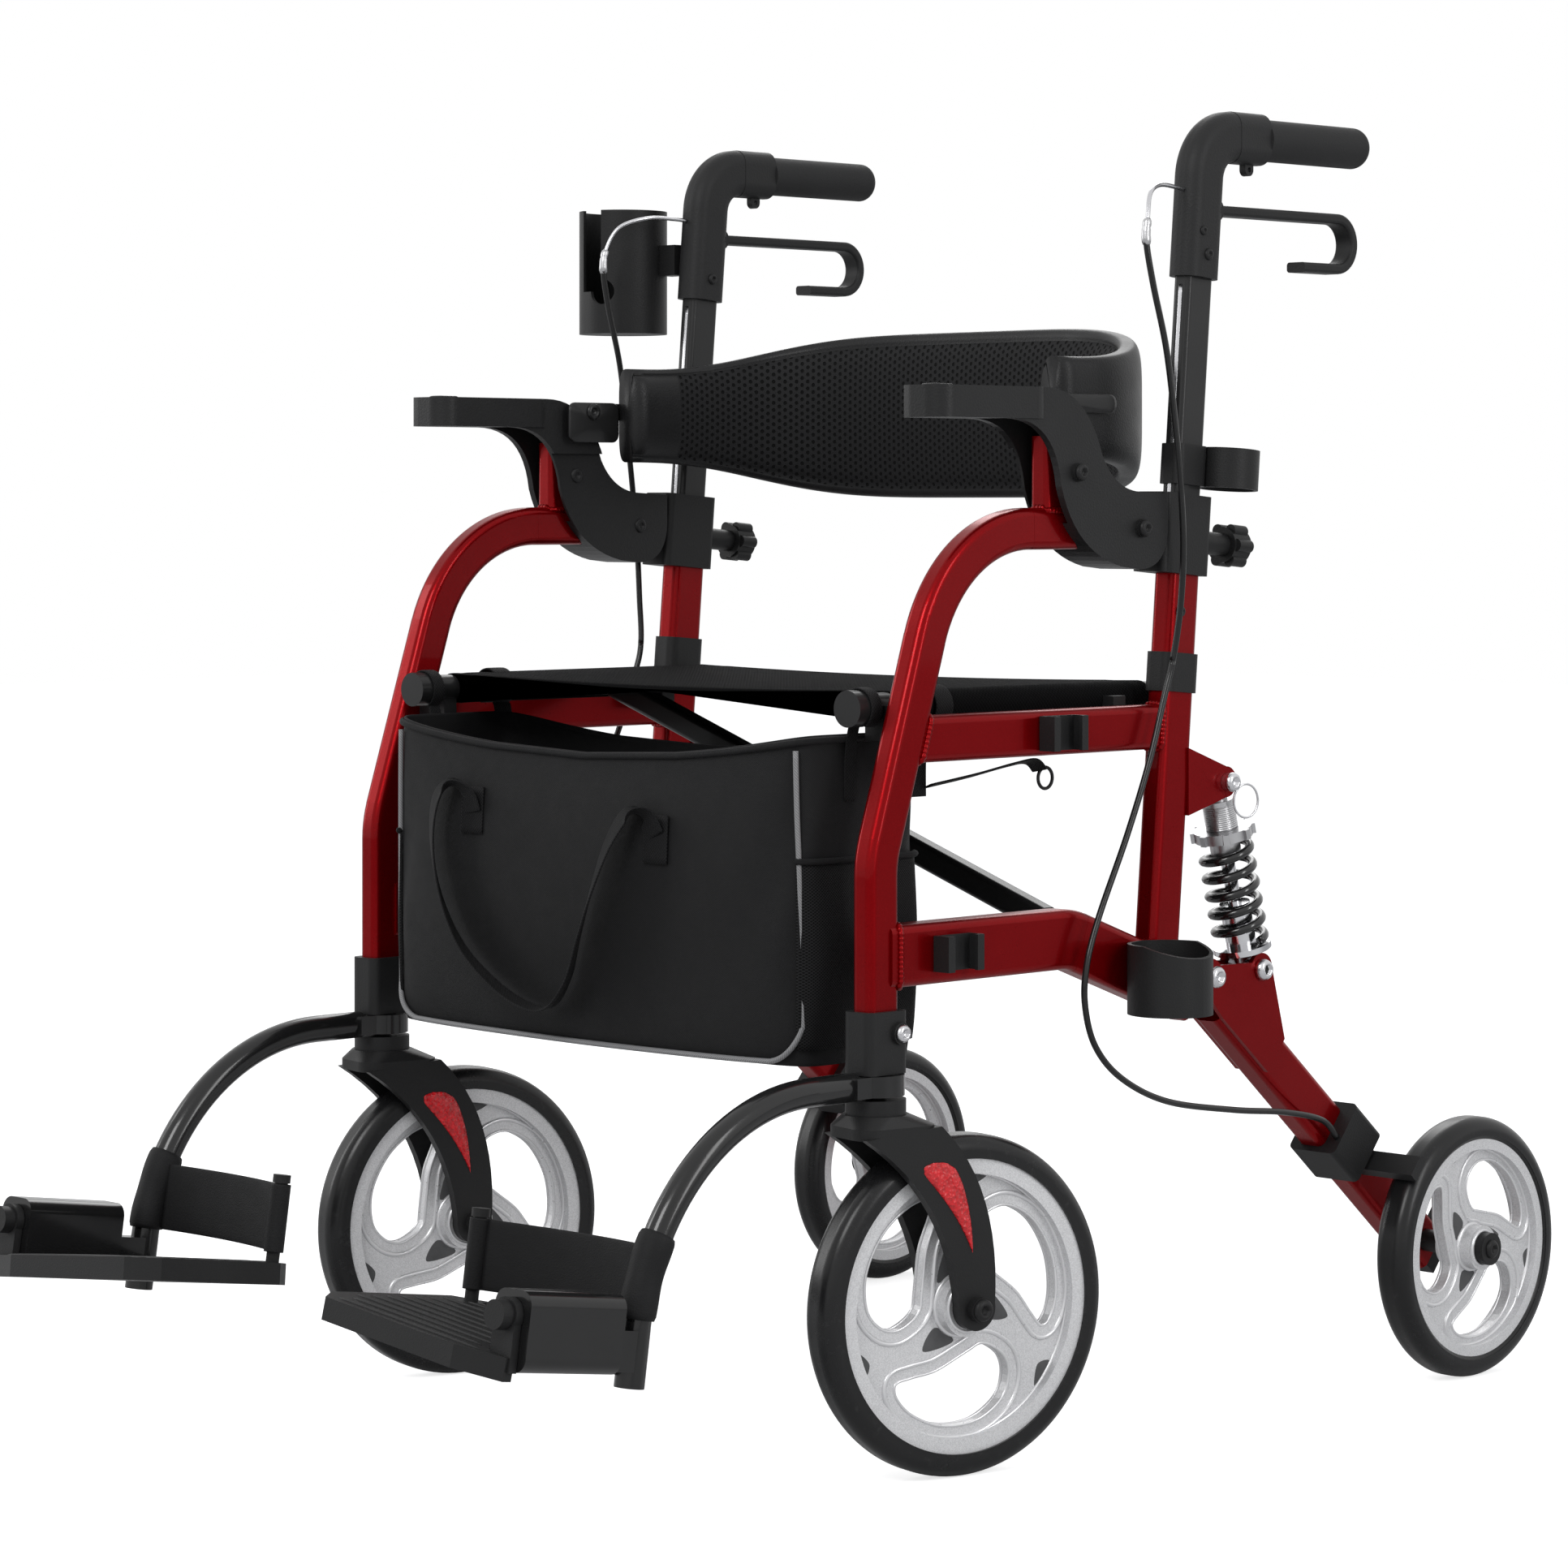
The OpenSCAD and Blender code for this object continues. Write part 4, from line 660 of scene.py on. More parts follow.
class ChairSizes(bpy.types.PropertyGroup):
    """Sizes of the dressed pieces, in metres"""

    lip_r: FloatProperty(name="Window lip", description="Radius of the lip round a rim's window",
                         default=0.0020, unit="LENGTH")
    bead_r: FloatProperty(name="Weld bead", description="Radius of a weld bead", default=0.0023,
                          unit="LENGTH")
    bag_bulge: FloatProperty(name="Bag bulge", description="How far the bag's front swells", default=0.010,
                             unit="LENGTH")
    bag_sag: FloatProperty(name="Bag sag", description="Dip of the bag's upper edge", default=0.020,
                           unit="LENGTH")
    rib_count: IntProperty(name="Plate ribs", description="Ribs on each footrest plate", default=11,
                           min=3, max=20)


class ChairStage(bpy.types.PropertyGroup):
    """Camera and lamps"""

    lens: FloatProperty(name="Lens", description="Focal length of the camera in millimetres", default=103.71)
    key: FloatProperty(name="Key lamp", description="Power of the main lamp", default=52.0, unit="POWER")
    fill: FloatProperty(name="Fill lamp", description="Power of the fill lamp", default=26.0, unit="POWER")
    sky: FloatProperty(name="Sky", description="Strength of the even light from all round", default=0.42)


# Operators

SENSOR, CAMERA_SHIFT, CAMERA_REACH = 36.0, -0.1791, 50.0
CAMERA_SPOT = (2521.0, -2339.0, 705.0)
CAMERA_TURN = (math.pi / 2, 0, math.pi / 4)
# Each lamp's name, place in metres, power setting, share of it, width and height
LAMPS = (("key", (0.9, -2.9, 2.7), "key", 1.0, 1.3, 1.3),
         ("side", (3.0, 0.3, 1.7), "fill", 1.0, 0.6, 2.0),
         ("back", (-1.8, 2.4, 2.6), "fill", 0.8, 1.6, 1.6),
         ("left", (-2.7, -1.5, 1.6), "fill", 0.7, 0.6, 2.0))
LAMP_AIM = np.array([0, 0, 0.5])
FLOOR_HALF = 12
FLOOR_GLOW = 0.72


def studio(strength):
    """An even sky that lights the chair, and is plain white to the camera and in reflections."""
    world = bpy.data.worlds.new("studio")
    g = Graph(world)
    seen = g.ray("Camera").math("MAXIMUM", g.ray("Glossy").math("MAXIMUM", g.ray("Transmission")))
    sky = g.node("Background", None, {"Color": (0.95, 0.97, 1.0, 1), "Strength": strength})
    white = g.node("Background", None, {"Color": (1, 1, 1, 1)})
    g.end("OutputWorld", g.node("MixShader", None, {0: seen, 1: sky, 2: white}))
    return world


def pale_floor():
    """A square floor, pale to the light and brighter to the camera."""
    h = FLOOR_HALF
    mesh = bpy.data.meshes.new("floor")
    mesh.from_pydata([(-h, -h, 0), (h, -h, 0), (h, h, 0), (-h, h, 0)], [], [(0, 1, 2, 3)])
    material = bpy.data.materials.new("floor_white")
    g = Graph(material)
    diffuse = g.node("BsdfDiffuse", None, {"Color": (0.8, 0.8, 0.8, 1)})
    glow = g.node("Emission", None, {"Strength": g.ray("Camera") * FLOOR_GLOW})
    g.end("OutputMaterial", g.node("AddShader", None, {0: diffuse, 1: glow}))
    mesh.materials.append(material)
    return placed("floor", mesh)


class CHAIR_OT_stage(bpy.types.Operator):
    """Camera at the picture's angle, soft lamps, white floor and background"""

    bl_idname = "chair.stage"
    bl_label = "Stage"

    def execute(self, context):
        scene = context.scene
        light = scene.chair_stage
        scene.view_settings.view_transform = "Standard"
        cam = bpy.data.cameras.new("camera")
        cam.sensor_width, cam.lens, cam.shift_y, cam.clip_end = SENSOR, light.lens, CAMERA_SHIFT, CAMERA_REACH
        scene.camera = placed("camera", cam)
        scene.camera.location, scene.camera.rotation_euler = row(CAMERA_SPOT), CAMERA_TURN
        for name, place, power, share, wide, tall in LAMPS:
            lamp = bpy.data.lights.new(name, "AREA")
            lamp.shape = "RECTANGLE"
            lamp.energy, lamp.size, lamp.size_y = getattr(light, power) * share, wide, tall
            x, y, z = LAMP_AIM - place
            obj = placed(name, lamp)
            obj.location = place
            obj.rotation_euler = (math.atan2(math.hypot(x, y), -z), 0, math.atan2(y, x) - math.pi / 2)
        scene.world = studio(light.sky)
        pale_floor()
        return {"FINISHED"}


# Route of the right brake cable, given from the side frame's plane, in millimetres
CABLE = [
    (2, 339.8, 947), (4, 328, 948), (10, 303, 948), (20, 280, 940), (26, 270, 922), (27, 267, 903),
    (28, 274, 870), (29, 288, 822), (30, 297, 767), (30, 304, 715), (29, 308, 670), (26, 308, 625),
    (21, 305, 585), (20, 296, 557), (21, 277, 508), (23, 249, 454), (25, 215, 396), (26, 200, 361),
    (26, 198, 331), (26, 210, 299), (25, 242, 272), (24, 296, 250), (23, 376, 236), (22, 440, 228),
    (21, 488, 217), (21, 506, 202)]
CABLE_R = 2.5
CABLE_STEPS = 10
FERRULE_AT, CLIP_AT = 5 * CABLE_STEPS, 12 * CABLE_STEPS
FERRULE_R = [2.2, 3.2, 3.4, 3.4, 3.0, 3.4, 3.4, 3.4, 3.6, 3.6, 2.9]
BENT_TUBE_R = 1.7
# Steps of the route that the ferrule covers before and after its place, and where the bent tube ends in it
FERRULE_BEFORE, FERRULE_AFTER, TUBE_BEFORE = 9, 2, 6
# The lower run goes over from the frame to the swing arm between these steps, the second one from its end
GIVE_FROM, GIVE_TO = 70, -4


class CHAIR_OT_cables(bpy.types.Operator):
    """Brake cables from the handle shells to the rear brakes, with ferrules and bare bent tubes"""

    bl_idname = "chair.cables"
    bl_label = "Brake cables"

    def execute(self, context):
        whole = smooth_line(CABLE, CABLE_STEPS)
        for side, s in SIDES:
            line = on_side(whole, s)
            upper, lower = line[FERRULE_AT:CLIP_AT + 1], line[CLIP_AT:]
            bent = line[:FERRULE_AT - TUBE_BEFORE]
            cap = line[FERRULE_AT - FERRULE_BEFORE:FERRULE_AT + FERRULE_AFTER]
            piece(side + "_noodle", [tube(bent, BENT_TUBE_R)], bright_steel(), side + "_handle")
            piece(side + "_ferrule", [tube(cap, FERRULE_R, 16)], turned_alloy(), side + "_handle")
            runs = (("_cable_upper", upper, "_handle", upper[-1], upper[0]),
                    ("_cable_lower", lower, "_arm", lower[GIVE_FROM], lower[GIVE_TO]))
            for name, path, far, start, end in runs:
                cord = piece(side + name, [tube(path, CABLE_R)], cable_black(), None)
                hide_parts(side + "_brake_cable")
                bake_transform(cord)
        return {"FINISHED"}


# CAD pieces that keep their shape, by finish; those of a pair are named without their side
COATS = (
    (red_paint, ("side_frame", "swing_arm")),
    (satin_black, ("stem_collar", "brake_shoe", "arm_hardware", "brake_lever", "post_clamp", "clamp_knob",
                   "frame_fittings", "footplate", "caster_fork", "cup_holder", "cane_holder")),
    (arm_black, ("armrest",)),
    (shell_black, ("handle_shell",)),
    (grip_rubber, ("hand_grip",)),
    (post_black, ("handle_post", "fold_frame")),
    (gloss_tube, ("footrest_hanger",)),
    (tyre_black, ("front_tyre", "rear_tyre")),
    (rim_silver, ("front_rim", "rear_rim")),
    (turned_alloy, ("shock_body",)),
    (chrome_rod, ("shock_rod",)),
    (bright_steel, ("pivot_bolts",)))


class CHAIR_OT_frame_paint(bpy.types.Operator):
    """Paint and coatings on the CAD pieces that keep their shape"""

    bl_idname = "chair.frame_paint"
    bl_label = "Frame finishes"

    def execute(self, context):
        for finish, names in COATS:
            for node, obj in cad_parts.items():
                if node.removeprefix("right_").removeprefix("left_") in names:
                    obj.data.materials.clear()
                    obj.data.materials.append(finish())
        return {"FINISHED"}


BEAD_STEP, BEAD_PITCH = 0.9, 3.4
UPPER_RAIL_Z, LOWER_RAIL_Z = 534.0, 379.0
FRONT_LEAN, FRONT_BEND_Z, FRONT_FACE = math.radians(18), 449.0, 16.2
RAIL_DROP, RAIL_BEND_Y, RAIL_HALF = math.radians(20), 203.0, 22.5
POST_FACE, POST_FOOT_Y = 18.2, 310.6
STUB_Y, STUB_Z = 187.0, 701.6


def bead(path, r, side_way):
    """A weld bead: a closed run whose radius swells and shrinks along it like laid puddles."""
    ring = np.vstack([path, path[:1]])
    along = run_length(ring)
    whole = along[-1]
    want = np.linspace(0, whole, int(whole / BEAD_STEP), endpoint=False)
    line = coords(*(np.interp(want, along, column) for column in ring.T))
    swell = 1 + 0.14 * np.cos(2 * np.pi * np.round(whole / BEAD_PITCH) * want / whole)
    return tube(line, r * swell, 8, side_way, closed=True)


class CHAIR_OT_welds(bpy.types.Operator):
    """Weld beads where the frame's tubes meet"""

    bl_idname = "chair.welds"
    bl_label = "Weld beads"

    def execute(self, context):
        r = context.scene.chair_sizes.bead_r * MM
        # The upper rail's ends at the rear post and the front tube
        x, v = rounded_outline(19.4, 34.4, 6.2).T
        z = UPPER_RAIL_Z + v
        runs = [(coords(x, post_y(z) - POST_FACE, z), Y_WAY),
                (coords(x, (z - FRONT_BEND_Z) * math.tan(FRONT_LEAN) + FRONT_FACE, z), Y_WAY)]
        # The lower rail's end at the front tube, where the tube's rounded edges fall away
        x, v = rounded_outline(24.4, 45.4, 6.2).T
        runs.append((coords(x, np.where(np.abs(x) > 9.5, 13.5, 15.4), LOWER_RAIL_Z + v), Y_WAY))
        # The rear post's foot on the falling part of the lower rail
        x, v = rounded_outline(23.4, 36.4, 6.2).T
        y = POST_FOOT_Y + v
        z = LOWER_RAIL_Z - (y - RAIL_BEND_Y) * math.tan(RAIL_DROP) + RAIL_HALF / math.cos(RAIL_DROP)
        runs.append((coords(x, y, z), Z_WAY))
        # The armrest's stub on the front tube, whose edges fall away too
        x, v = rounded_outline(18.4, 24.4, 4.7).T
        runs.append((coords(x, STUB_Y + v, STUB_Z - np.where(np.abs(x) > 5, 2.0, 0.0)), Z_WAY))
        for side, s in SIDES:
            parts = [bead(on_side(run, s), r, way) for run, way in runs]
            piece(side + "_weld_beads", parts, red_paint(), side + "_frame")
        return {"FINISHED"}


# A rim window's edge, clockwise from its head's lowest point: share of the rim's radius, angle in degrees
WINDOW = np.array([(0.33, 58), (0.42, 48), (0.55, 46), (0.67, 52), (0.765, 63),
                   (0.815, 80), (0.825, 100), (0.815, 118), (0.785, 131), (0.72, 137),
                   (0.61, 131), (0.48, 115.5), (0.365, 95), (0.325, 75)])
RIM_POCKET = np.array([(0.9, 31.5), (0.9, 45), (0.81, 36)])
HUB_POCKET = np.array([(0.42, 136), (0.25, 146), (0.25, 102)])
POCKET_X, POCKET_SHARES = np.array([4.6, 5.15, 5.25]), (1.0, 1.0, 0.93)
RIM_SHARE = 0.86
RIM_EDGE = 10.5
RIDGE_OUT, RIDGE_CLEAR = 9.0, 3.0
LIP_X = 4.7


def rim_line(shares, r, turn):
    """A closed line on a rim's face, as (y, z), through shares of its radius r at angles, less the turn."""
    a = np.radians(shares[:, 1] - turn)
    return closed_line(r * shares[:, :1] * coords(np.cos(a), -np.sin(a)), 8)


def wheel_lips(r, hub_r, lip, turn):
    """Lip lines on both faces, round the X axis, with their radii: each window's edge, a ridge outside
    that edge, two rings at the hub and one inside the tyre."""
    lines = []
    for k in range(3):
        w = rim_line(WINDOW, r, turn + 120 * k)
        t = unit(np.roll(w, -1, 0) - np.roll(w, 1, 0))
        away = coords(t[:, 1], -t[:, 0])
        ridge = w + RIDGE_OUT * away * np.sign(np.sum((w - w.mean(0)) * away))
        reach = np.linalg.norm(ridge, axis=1, keepdims=True)
        ridge = ridge * np.clip(reach, hub_r + RIDGE_CLEAR, r - RIM_EDGE) / reach
        for x in (-LIP_X, LIP_X):
            lines += [(coords(x, *w.T), lip * 0.6), (coords(x, *ridge.T), lip)]
    a = turns(96)
    for face in (-1, 1):
        for ring_r, x, size in ((hub_r, 5.2, 1.1), (r - RIM_EDGE, 5.0, 0.9), (hub_r - 4, 16.8, 0.8)):
            lines.append((coords(face * x, ring_r * np.cos(a), ring_r * np.sin(a)), lip * size))
    return lines


def rim_pocket_shade(r, turn):
    """Shadowed pockets between the windows, as thin plates just proud of both faces, round the X axis."""
    return [plate(rim_line(shares, r, turn + 120 * k), face * POCKET_X, POCKET_SHARES)
            for k in range(3) for shares in (RIM_POCKET, HUB_POCKET) for face in (-1, 1)]


def caster_point(points, s):
    """Points drawn round a caster stem, turned with the caster and put on side s."""
    p = np.asarray(points, float)
    c, sn, _ = CASTER_WAY
    return coords(p[..., 0] * c - p[..., 1] * sn + s * FRAME_X, p[..., 0] * sn + p[..., 1] * c, p[..., 2])


# Each wheel's name, radius, hub radius, turn of its windows in degrees, placing, hub and axle's direction
WHEELS = (("front", FRONT_R, 22, 0, caster_point, (0, CASTER_TRAIL, FRONT_R), CASTER_WAY),
          ("rear", REAR_R, 18, 24, on_side, (WHEEL_OUT, REAR_Y, REAR_R), X_WAY))


class CHAIR_OT_wheels(bpy.types.Operator):
    """Raised lips and shadowed pockets on the wheel rims"""

    bl_idname = "chair.wheels"
    bl_label = "Wheel details"

    def execute(self, context):
        lip = context.scene.chair_sizes.lip_r * MM
        for side, s in SIDES:
            for end, r, hub_r, turn, place, hub, way in WHEELS:
                name, rim = f"{side}_{end}", r * RIM_SHARE
                lips = [tube(place(path + hub, s), size, 8, way, closed=True)
                        for path, size in wheel_lips(rim, hub_r, lip, turn)]
                piece(name + "_rim_lips", lips, rim_lip(), name + "_wheel")
                # The pocket plates carry painted shadow in the rims' pockets
                dark = [skin(place(grid + hub, s)) for grid in rim_pocket_shade(rim, turn)]
                piece(name + "_rim_pockets", dark, rim_shade(), name + "_wheel")
        return {"FINISHED"}


# Edges of a fork leg, as start, bend and end in (y, z), and the stretch of the leg that its reflector covers
LEG_FRONT = ((-26, 252), (48, 205), (54.5, 124))
LEG_BACK = ((39, 258), (92, 210), (85.5, 124))
LENS_FROM, LENS_TO, LENS_HEAD = 0.22, 0.74, 0.16
LENS_BED, LENS_FACE, LENS_RIM, LENS_DOME = 27.3, 27.5, 0.4, 2.2


class CHAIR_OT_reflectors(bpy.types.Operator):
    """Red drop-shaped reflectors on the outer faces of the fork legs"""

    bl_idname = "chair.reflectors"
    bl_label = "Reflectors"

    def execute(self, context):
        n, m = 40, 17
        pick = (np.linspace(LENS_FROM, LENS_TO, n) * 100).astype(int)
        front, back = bezier(*LEG_FRONT, 101)[pick], bezier(*LEG_BACK, 101)[pick]
        f = np.linspace(0, 1, n)
        head = np.sqrt(np.clip(1 - ((LENS_HEAD - f) / LENS_HEAD) ** 2, 0, 1))
        tail = 1 - np.clip((f - LENS_HEAD) / (1 - LENS_HEAD), 0, 1) ** 1.4
        width = 0.5 * np.where(f < LENS_HEAD, head, tail)
        v = np.linspace(-1, 1, m)
        yz = (front + back)[:, None] / 2 + v[None, :, None] * (width[:, None] * (back - front) / 2)[:, None]
        ends = np.sqrt(np.clip(np.sin(np.pi * f), 0, 1))[:, None]
        dome = LENS_RIM + LENS_DOME * np.sqrt(np.clip(1 - v[None, :] ** 2, 0, 1)) * ends
        for side, s in SIDES:
            parts = []
            for face in (-1, 1):
                top = coords(face * (LENS_FACE + dome), yz[..., 0], yz[..., 1])
                low = coords(face * LENS_BED, yz[..., 0], yz[..., 1])
                parts.append(skin(caster_point(np.concatenate([top, low[:, ::-1]], 1), s)))
            piece(side + "_reflectors", parts, red_lens(), side + "_caster")
        return {"FINISHED"}


# Screw heads by piece, with finish, body and slot, then each head's x from the frame's plane, y, z,
# radius and height; a head faces away from that plane
SCREWS = (
    ("_arm_screws", satin_black, "_frame", "black_plastic",
     ((24.5, 195, 728, 6.5, 4), (24.5, 268, 686, 6.5, 4), (-18, 195, 728, 6, 1.5), (-18, 268, 686, 6, 1.5),
      (10.4, 326, 622, 4.5, 3))),
    ("_shell_screws", satin_black, "_handle", "black_plastic",
     ((13.8, 356, 897, 4.6, 2.6), (13.8, 350, 915, 3.6, 2.2), (-13.8, 356, 897, 4.6, 2.6))),
    ("_frame_screws", bright_steel, "_frame", "bolt_steel",
     ((18, 9, 325, 6.5, 4), (21.5, *PIVOT, 8.5, 5), (17, *SHOCK_TOP, 7.5, 5), (-17, *SHOCK_TOP, 7.5, 5),
      (-21.5, *PIVOT, 8.5, 5))),
    ("_shock_foot_screws", bright_steel, "_arm", "bolt_steel",
     ((16.6, *SHOCK_FOOT, 8.5, 6.5), (-16.6, *SHOCK_FOOT, 8.5, 6.5))),
    ("_axle_screw", satin_black, "_arm", "black_plastic", ((WHEEL_OUT + 25.4, REAR_Y, REAR_R, 7.5, 3),)))
FORK_NUT_X = 34.4


class CHAIR_OT_screws(bpy.types.Operator):
    """Screw heads on armrests, handles, collars, forks and pivots"""

    bl_idname = "chair.screws"
    bl_label = "Screw heads"

    def execute(self, context):
        for side, s in SIDES:
            for name, finish, body, slot, heads in SCREWS:
                parts = [screw_head(on_side(head[:3], s), (s * np.sign(head[0]), 0, 0), *head[3:])
                         for head in heads]
                piece(side + name, parts, finish(), side + body)
            nuts = [screw_head(caster_point((f * FORK_NUT_X, CASTER_TRAIL, FRONT_R), s), f * CASTER_WAY, 8, 4)
                    for f in (-1, 1)]
            piece(side + "_fork_screws", nuts, satin_black(), side + "_caster")
        return {"FINISHED"}


# Places along the shock are millimetres up from its lower bolt
SHOCK_LONG = float(np.linalg.norm(SHOCK_TOP - SHOCK_FOOT))
SPRING_LOW, SPRING_HIGH = 20.0, SHOCK_LONG - 46.0
SPRING_TURNS, SPRING_R, SPRING_WIRE_R, SPRING_GAP = 5.5, 19.0, 3.5, 3.6
THREAD_LOW, THREAD_LONG, THREAD_R, THREAD_PITCH, THREAD_DEEP = SPRING_HIGH + 8.2, 19.0, 12.15, 1.6, 0.55
# The pull ring hangs aslant: its middle from the frame's plane, and its reach each way
PULL_MID, PULL_REACH, PULL_WIRE_R = (20.0, 394.0, 474.0), (3.0, 11.0, 13.0), 0.9


def shock_point(points, s):
    """Points drawn along the shock, from its lower bolt up, put on side s."""
    p = np.asarray(points, float)
    y, z = unit(SHOCK_TOP - SHOCK_FOOT)
    return on_side(coords(p[..., 0], SHOCK_FOOT[0] + p[..., 2] * y + p[..., 1] * z,
                          SHOCK_FOOT[1] + p[..., 2] * z - p[..., 1] * y), s)


class CHAIR_OT_shocks(bpy.types.Operator):
    """Coil springs, threaded sleeves and the pull rings of the upper pins"""

    bl_idname = "chair.shocks"
    bl_label = "Shocks"

    def execute(self, context):
        a = np.linspace(0, SPRING_TURNS, 265)
        rise = SPRING_HIGH - SPRING_LOW - 2 * SPRING_GAP
        coil = coords(SPRING_R * np.cos(2 * np.pi * a), SPRING_R * np.sin(2 * np.pi * a),
                      SPRING_LOW + SPRING_GAP + rise * a / SPRING_TURNS)
        z = np.arange(0, THREAD_LONG, 0.25)
        ridge = THREAD_R + THREAD_DEEP * (0.5 - 0.5 * np.cos(2 * np.pi * z / THREAD_PITCH))
        thread = np.vstack([[(0, THREAD_LOW)], coords(ridge, THREAD_LOW + z),
                            [(0, THREAD_LOW + THREAD_LONG)]])
        t = turns(48)
        ring = np.array(PULL_MID) + PULL_REACH * coords(np.cos(t), np.cos(t), np.sin(t))
        for side, s in SIDES:
            foot = shock_point((0, 0, 0), s)
            way = unit(shock_point((0, 0, SHOCK_LONG), s) - foot)
            wire = tube(shock_point(coil, s), SPRING_WIRE_R, 14, way)
            spring = piece(side + "_coil", [wire], spring_black(), side + "_shock_upper")
            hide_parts(side + "_shock_spring")
            tuple(row(shock_point((0, 0, SPRING_HIGH), s)))
            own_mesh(spring)
            piece(side + "_shock_thread", [lathe(thread, foot, way, 48)], turned_alloy(),
                  side + "_shock_upper")
            piece(side + "_pull_ring", [tube(on_side(ring, s), PULL_WIRE_R, 8, closed=True)], bright_steel(),
                  side + "_frame")
        return {"FINISHED"}


PAD_TOP = 791.0
RIDGES, RIDGE_Y, RIDGE_PITCH, RIDGE_HALF, RIDGE_R = 4, 58.0, 5.5, 11.0, 1.5
# Each ridge loses this much at both ends after the one in front of it, and bows by this much of x squared
RIDGE_LOSS, RIDGE_BOW = 1.5, 0.012
# The bright steel strip on each handle post's front is a painted highlight line
LINE_LOW, LINE_HIGH, LINE_FRONT = 566.0, 874.0, 14.8
LINE_WIDE, LINE_THICK = 3.4, 0.7


class CHAIR_OT_handles(bpy.types.Operator):
    """Ridges on the armrest pads, and a thin bright steel strip down the front of each handle post as a
    painted highlight
    """

    bl_idname = "chair.handles"
    bl_label = "Armrest and handle details"

    def execute(self, context):
        taper = np.sqrt(np.clip(1 - np.linspace(-1, 1, 15) ** 4, 0.02, 1))
        z = np.linspace(LINE_LOW, LINE_HIGH, 40)
        line = coords(0, post_y(z) - LINE_FRONT / math.cos(POST_LEAN), z)
        for side, s in SIDES:
            ridges = []
            for k in range(RIDGES):
                x = np.linspace(-1, 1, 15) * (RIDGE_HALF - RIDGE_LOSS * k)
                path = coords(x, RIDGE_Y + RIDGE_PITCH * k + RIDGE_BOW * x**2, PAD_TOP)
                ridges.append(tube(on_side(path, s), RIDGE_R * taper, 10, Z_WAY))
            piece(side + "_pad_ridges", ridges, arm_black(), side + "_frame")
            # Painted highlight: a bright steel strip down the post's front
            highlight_strip = band(on_side(line, s), LINE_WIDE, LINE_THICK, X_WAY)
            piece(side + "_post_line", [highlight_strip], bright_steel(), side + "_handle")
        return {"FINISHED"}


BACK_HALF, BACK_START, BACK_DEEP, BACK_THICK = 247.2, 234.0, 186.0, 20.0
BACK_Z, BACK_END_H, BACK_CROWN = 778.0, 78.0, 59.0
BACK_SEAM = 0.84
BAR_Z, BAR_MID, BRACKET_MID = 781.0, (238.0, 781.0), (204.5, 772.0)
BAR_X, BRACKET_X = np.array([247.9, 248.3, 251.0, 251.4]), np.array([245.2, 245.7, 247.5])
STUD = ((0, 0), (4, 0), (4, 14), (0, 14))


class CHAIR_OT_back(bpy.types.Operator):
    """Back pad of spacer mesh with vinyl binding, and its bars"""

    bl_idname = "chair.back"
    bl_label = "Back"

    def execute(self, context):
        n, m = 121, 56
        a = np.linspace(0, np.pi, n)

        def curve(inset):
            """The pad's line from above, half of a rounded square, moved in by the inset."""
            return coords((BACK_HALF - inset) * signed(np.cos(a), 2 / 3),
                          BACK_START + (BACK_DEEP - inset) * np.abs(np.sin(a)) ** (2 / 3))
        outer, inner = curve(0), curve(BACK_THICK)
        height = BACK_END_H + BACK_CROWN * (1 - np.abs(np.cos(a)) ** 3)
        b = turns(m)
        v = signed(np.sin(b), 0.45)
        seam = np.exp(-((np.abs(v) - BACK_SEAM) / 0.035) ** 2)
        puff = (1 - (v / BACK_SEAM) ** 2).clip(0, 1)
        u = 0.5 + 0.5 * signed(np.cos(b), 0.6) + (np.cos(b) < 0) * (0.1 * seam - 0.16 * puff)
        xy = inner[:, None] + (outer - inner)[:, None] * u[None, :, None]
        z = BACK_Z + height[:, None] / 2 * v[None, :]
        grid = coords(xy[..., 0], xy[..., 1], z)
        uv = coords(run_length((outer + inner) / 2)[:, None], z)
        pad = piece("back_pad_mesh", [skin(grid, uv=uv)], (spacer_mesh(), vinyl_edge()), "back")
        # Mesh on the front face inside the seam, binding elsewhere
        k = np.arange(n - 1)[:, None]
        mesh_face = (k > 5) & (k < n - 7) & ((np.cos(b) < -0.02) & (np.abs(v) < 0.86))[None, :]
        binding = np.ones(len(pad.data.polygons), np.int32)
        binding[:mesh_face.size] = ~mesh_face.ravel()
        pad.data.polygons.foreach_set("material_index", binding)
        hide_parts("back_pad")
        bar = rounded_outline(108, 14, 6.5, 6) + BAR_MID
        bracket = rounded_outline(56, 33, 7, 6) + BRACKET_MID
        bars = []
        for _, s in SIDES:
            bars += [skin(plate(bar, s * BAR_X, (0.94, 1, 1, 0.94))),
                     lathe(STUD, (s * 251, 196, BAR_Z), (s, 0, 0)),
                     skin(plate(bracket, s * BRACKET_X, (0.96, 1, 1))),
                     screw_head((s * 245.4, 203, BAR_Z), (-s, 0, 0), 7, 3)]
        hinge = piece("back_side_bars", bars, post_black(), "back")
        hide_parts("back_bars")
        for obj in (pad, hinge):
            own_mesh(obj)
        return {"FINISHED"}


SEAT_FRONT, SEAT_BACK, SEAT_SAG = 45.0, 328.0, 3.5
SLEEVE_R, SLEEVE_T, SEAT_T = 12.1, 0.9, 4.6
HEM_IN, HEM_WIDE, HEM_DEEP = 12.0, 1.6, 0.7
# Columns at each side of the seat's upper face that are single cloth round the tube
SLEEVE_COLUMNS = 18
# The seat's thickness near its front and back edges: distance from the edge, share of the full thickness
EDGE_IN, EDGE_SHARE = np.array([0, 0.4, 1.5, 3, 7]), (0.55, 0.8, 1.05, 1.15, 1)


